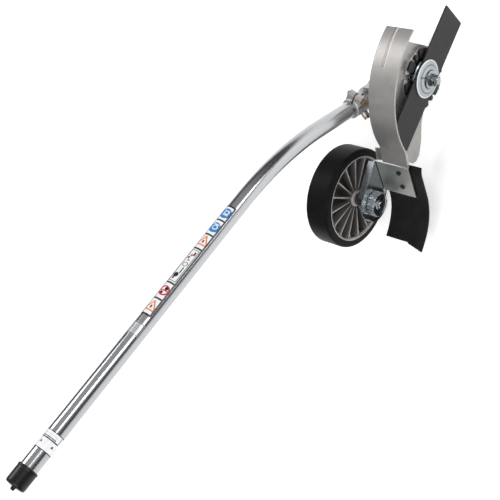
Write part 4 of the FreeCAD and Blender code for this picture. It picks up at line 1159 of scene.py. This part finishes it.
def pale_surround(strength):
    """A pale surround, brighter overhead than at the horizon."""
    world = bpy.data.worlds.new("surround")
    bpy.context.scene.world = world
    world.use_nodes = True
    tree = world.node_tree
    way = split(tree, tree.nodes.new("ShaderNodeTexCoord").outputs["Generated"])
    height = remap(tree, way["Z"], 0.06, 0.5, 0.0, 1.0, smooth=True)
    tint = blend_colour(tree, height, (0.10, 0.10, 0.105), (1.0, 1.0, 1.0))
    seen = tree.nodes.new("ShaderNodeLightPath").outputs["Is Camera Ray"]
    tint = blend_colour(tree, seen, tint, (1.8, 1.8, 1.8))
    wire(tree, tree.nodes["Background"], {"Color": tint, "Strength": strength})


class EDGER_OT_stage(bpy.types.Operator):
    """Sets the camera, the plain floor and the soft studio light"""

    bl_idname = "edger.stage"
    bl_label = "Stage"

    def execute(self, context):
        scene = context.scene
        settings = scene.edger_stage
        lens = bpy.data.cameras.new("camera")
        lens.lens = settings.lens
        lens.sensor_width = 36.0
        lens.clip_start, lens.clip_end = 0.05, 50.0
        camera = bpy.data.objects.new("camera", lens)
        camera.rotation_mode = "QUATERNION"
        camera.rotation_quaternion = Matrix(CAMERA_AXES).transposed().to_quaternion()
        camera.location = CAMERA_SPOT
        scene.collection.objects.link(camera)
        scene.camera = camera
        floor = bpy.data.objects.new("floor", floor_mesh(CAD_BOX[0].z - FLOOR_GAP))
        scene.collection.objects.link(floor)
        floor.data.materials.append(floor_finish(settings.floor))
        soft_light("key", (-0.9, -0.8, 2.2), 1.4, 1.0, settings.key)
        soft_light("fill", (1.2, -1.45, 1.1), 0.5, 1.5, settings.fill)
        soft_light("back", (0.6, 1.6, 1.6), 1.2, 0.6, settings.fill)
        pale_surround(settings.sky)
        scene.view_settings.view_transform = "Standard"
        return {"FINISHED"}


# --- panel and running
class EDGER_PT_panel(bpy.types.Panel):
    """Lists the edger's pieces in the sidebar"""

    bl_idname = "EDGER_PT_panel"
    bl_label = "Lawn edger"
    bl_space_type = "VIEW_3D"
    bl_region_type = "UI"
    bl_category = "Edger"

    def draw(self, context):
        for kind in OPERATORS:
            self.layout.operator(kind.bl_idname)
        for name in SETTINGS:
            group = getattr(context.scene, name)
            box = self.layout.box()
            box.label(text=type(group).__name__)
            for key in type(group).__annotations__:
                box.prop(group, key)


OPERATORS = (EDGER_OT_stage, EDGER_OT_tube, EDGER_OT_gear_head, EDGER_OT_blade, EDGER_OT_guard, EDGER_OT_wheel_arm,
             EDGER_OT_wheel)
SETTINGS = {"edger_tube": TubeSettings, "edger_wheel": WheelSettings, "edger_finish": FinishSettings,
            "edger_stage": StageSettings}


def register():
    """Registers the classes and their settings."""
    for kind in (*SETTINGS.values(), *OPERATORS, EDGER_PT_panel):
        bpy.utils.register_class(kind)
    for name, kind in SETTINGS.items():
        setattr(bpy.types.Scene, name, bpy.props.PointerProperty(type=kind))


def unregister():
    """Takes the settings and classes away again."""
    for name in SETTINGS:
        delattr(bpy.types.Scene, name)
    for kind in (EDGER_PT_panel, *OPERATORS[::-1], *list(SETTINGS.values())[::-1]):
        bpy.utils.unregister_class(kind)


def main():
    """Builds every piece."""
    register()
    for kind in OPERATORS:
        group, name = kind.bl_idname.split(".")
        getattr(getattr(bpy.ops, group), name)()
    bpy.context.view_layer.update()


if __name__ == "__main__":
    main()
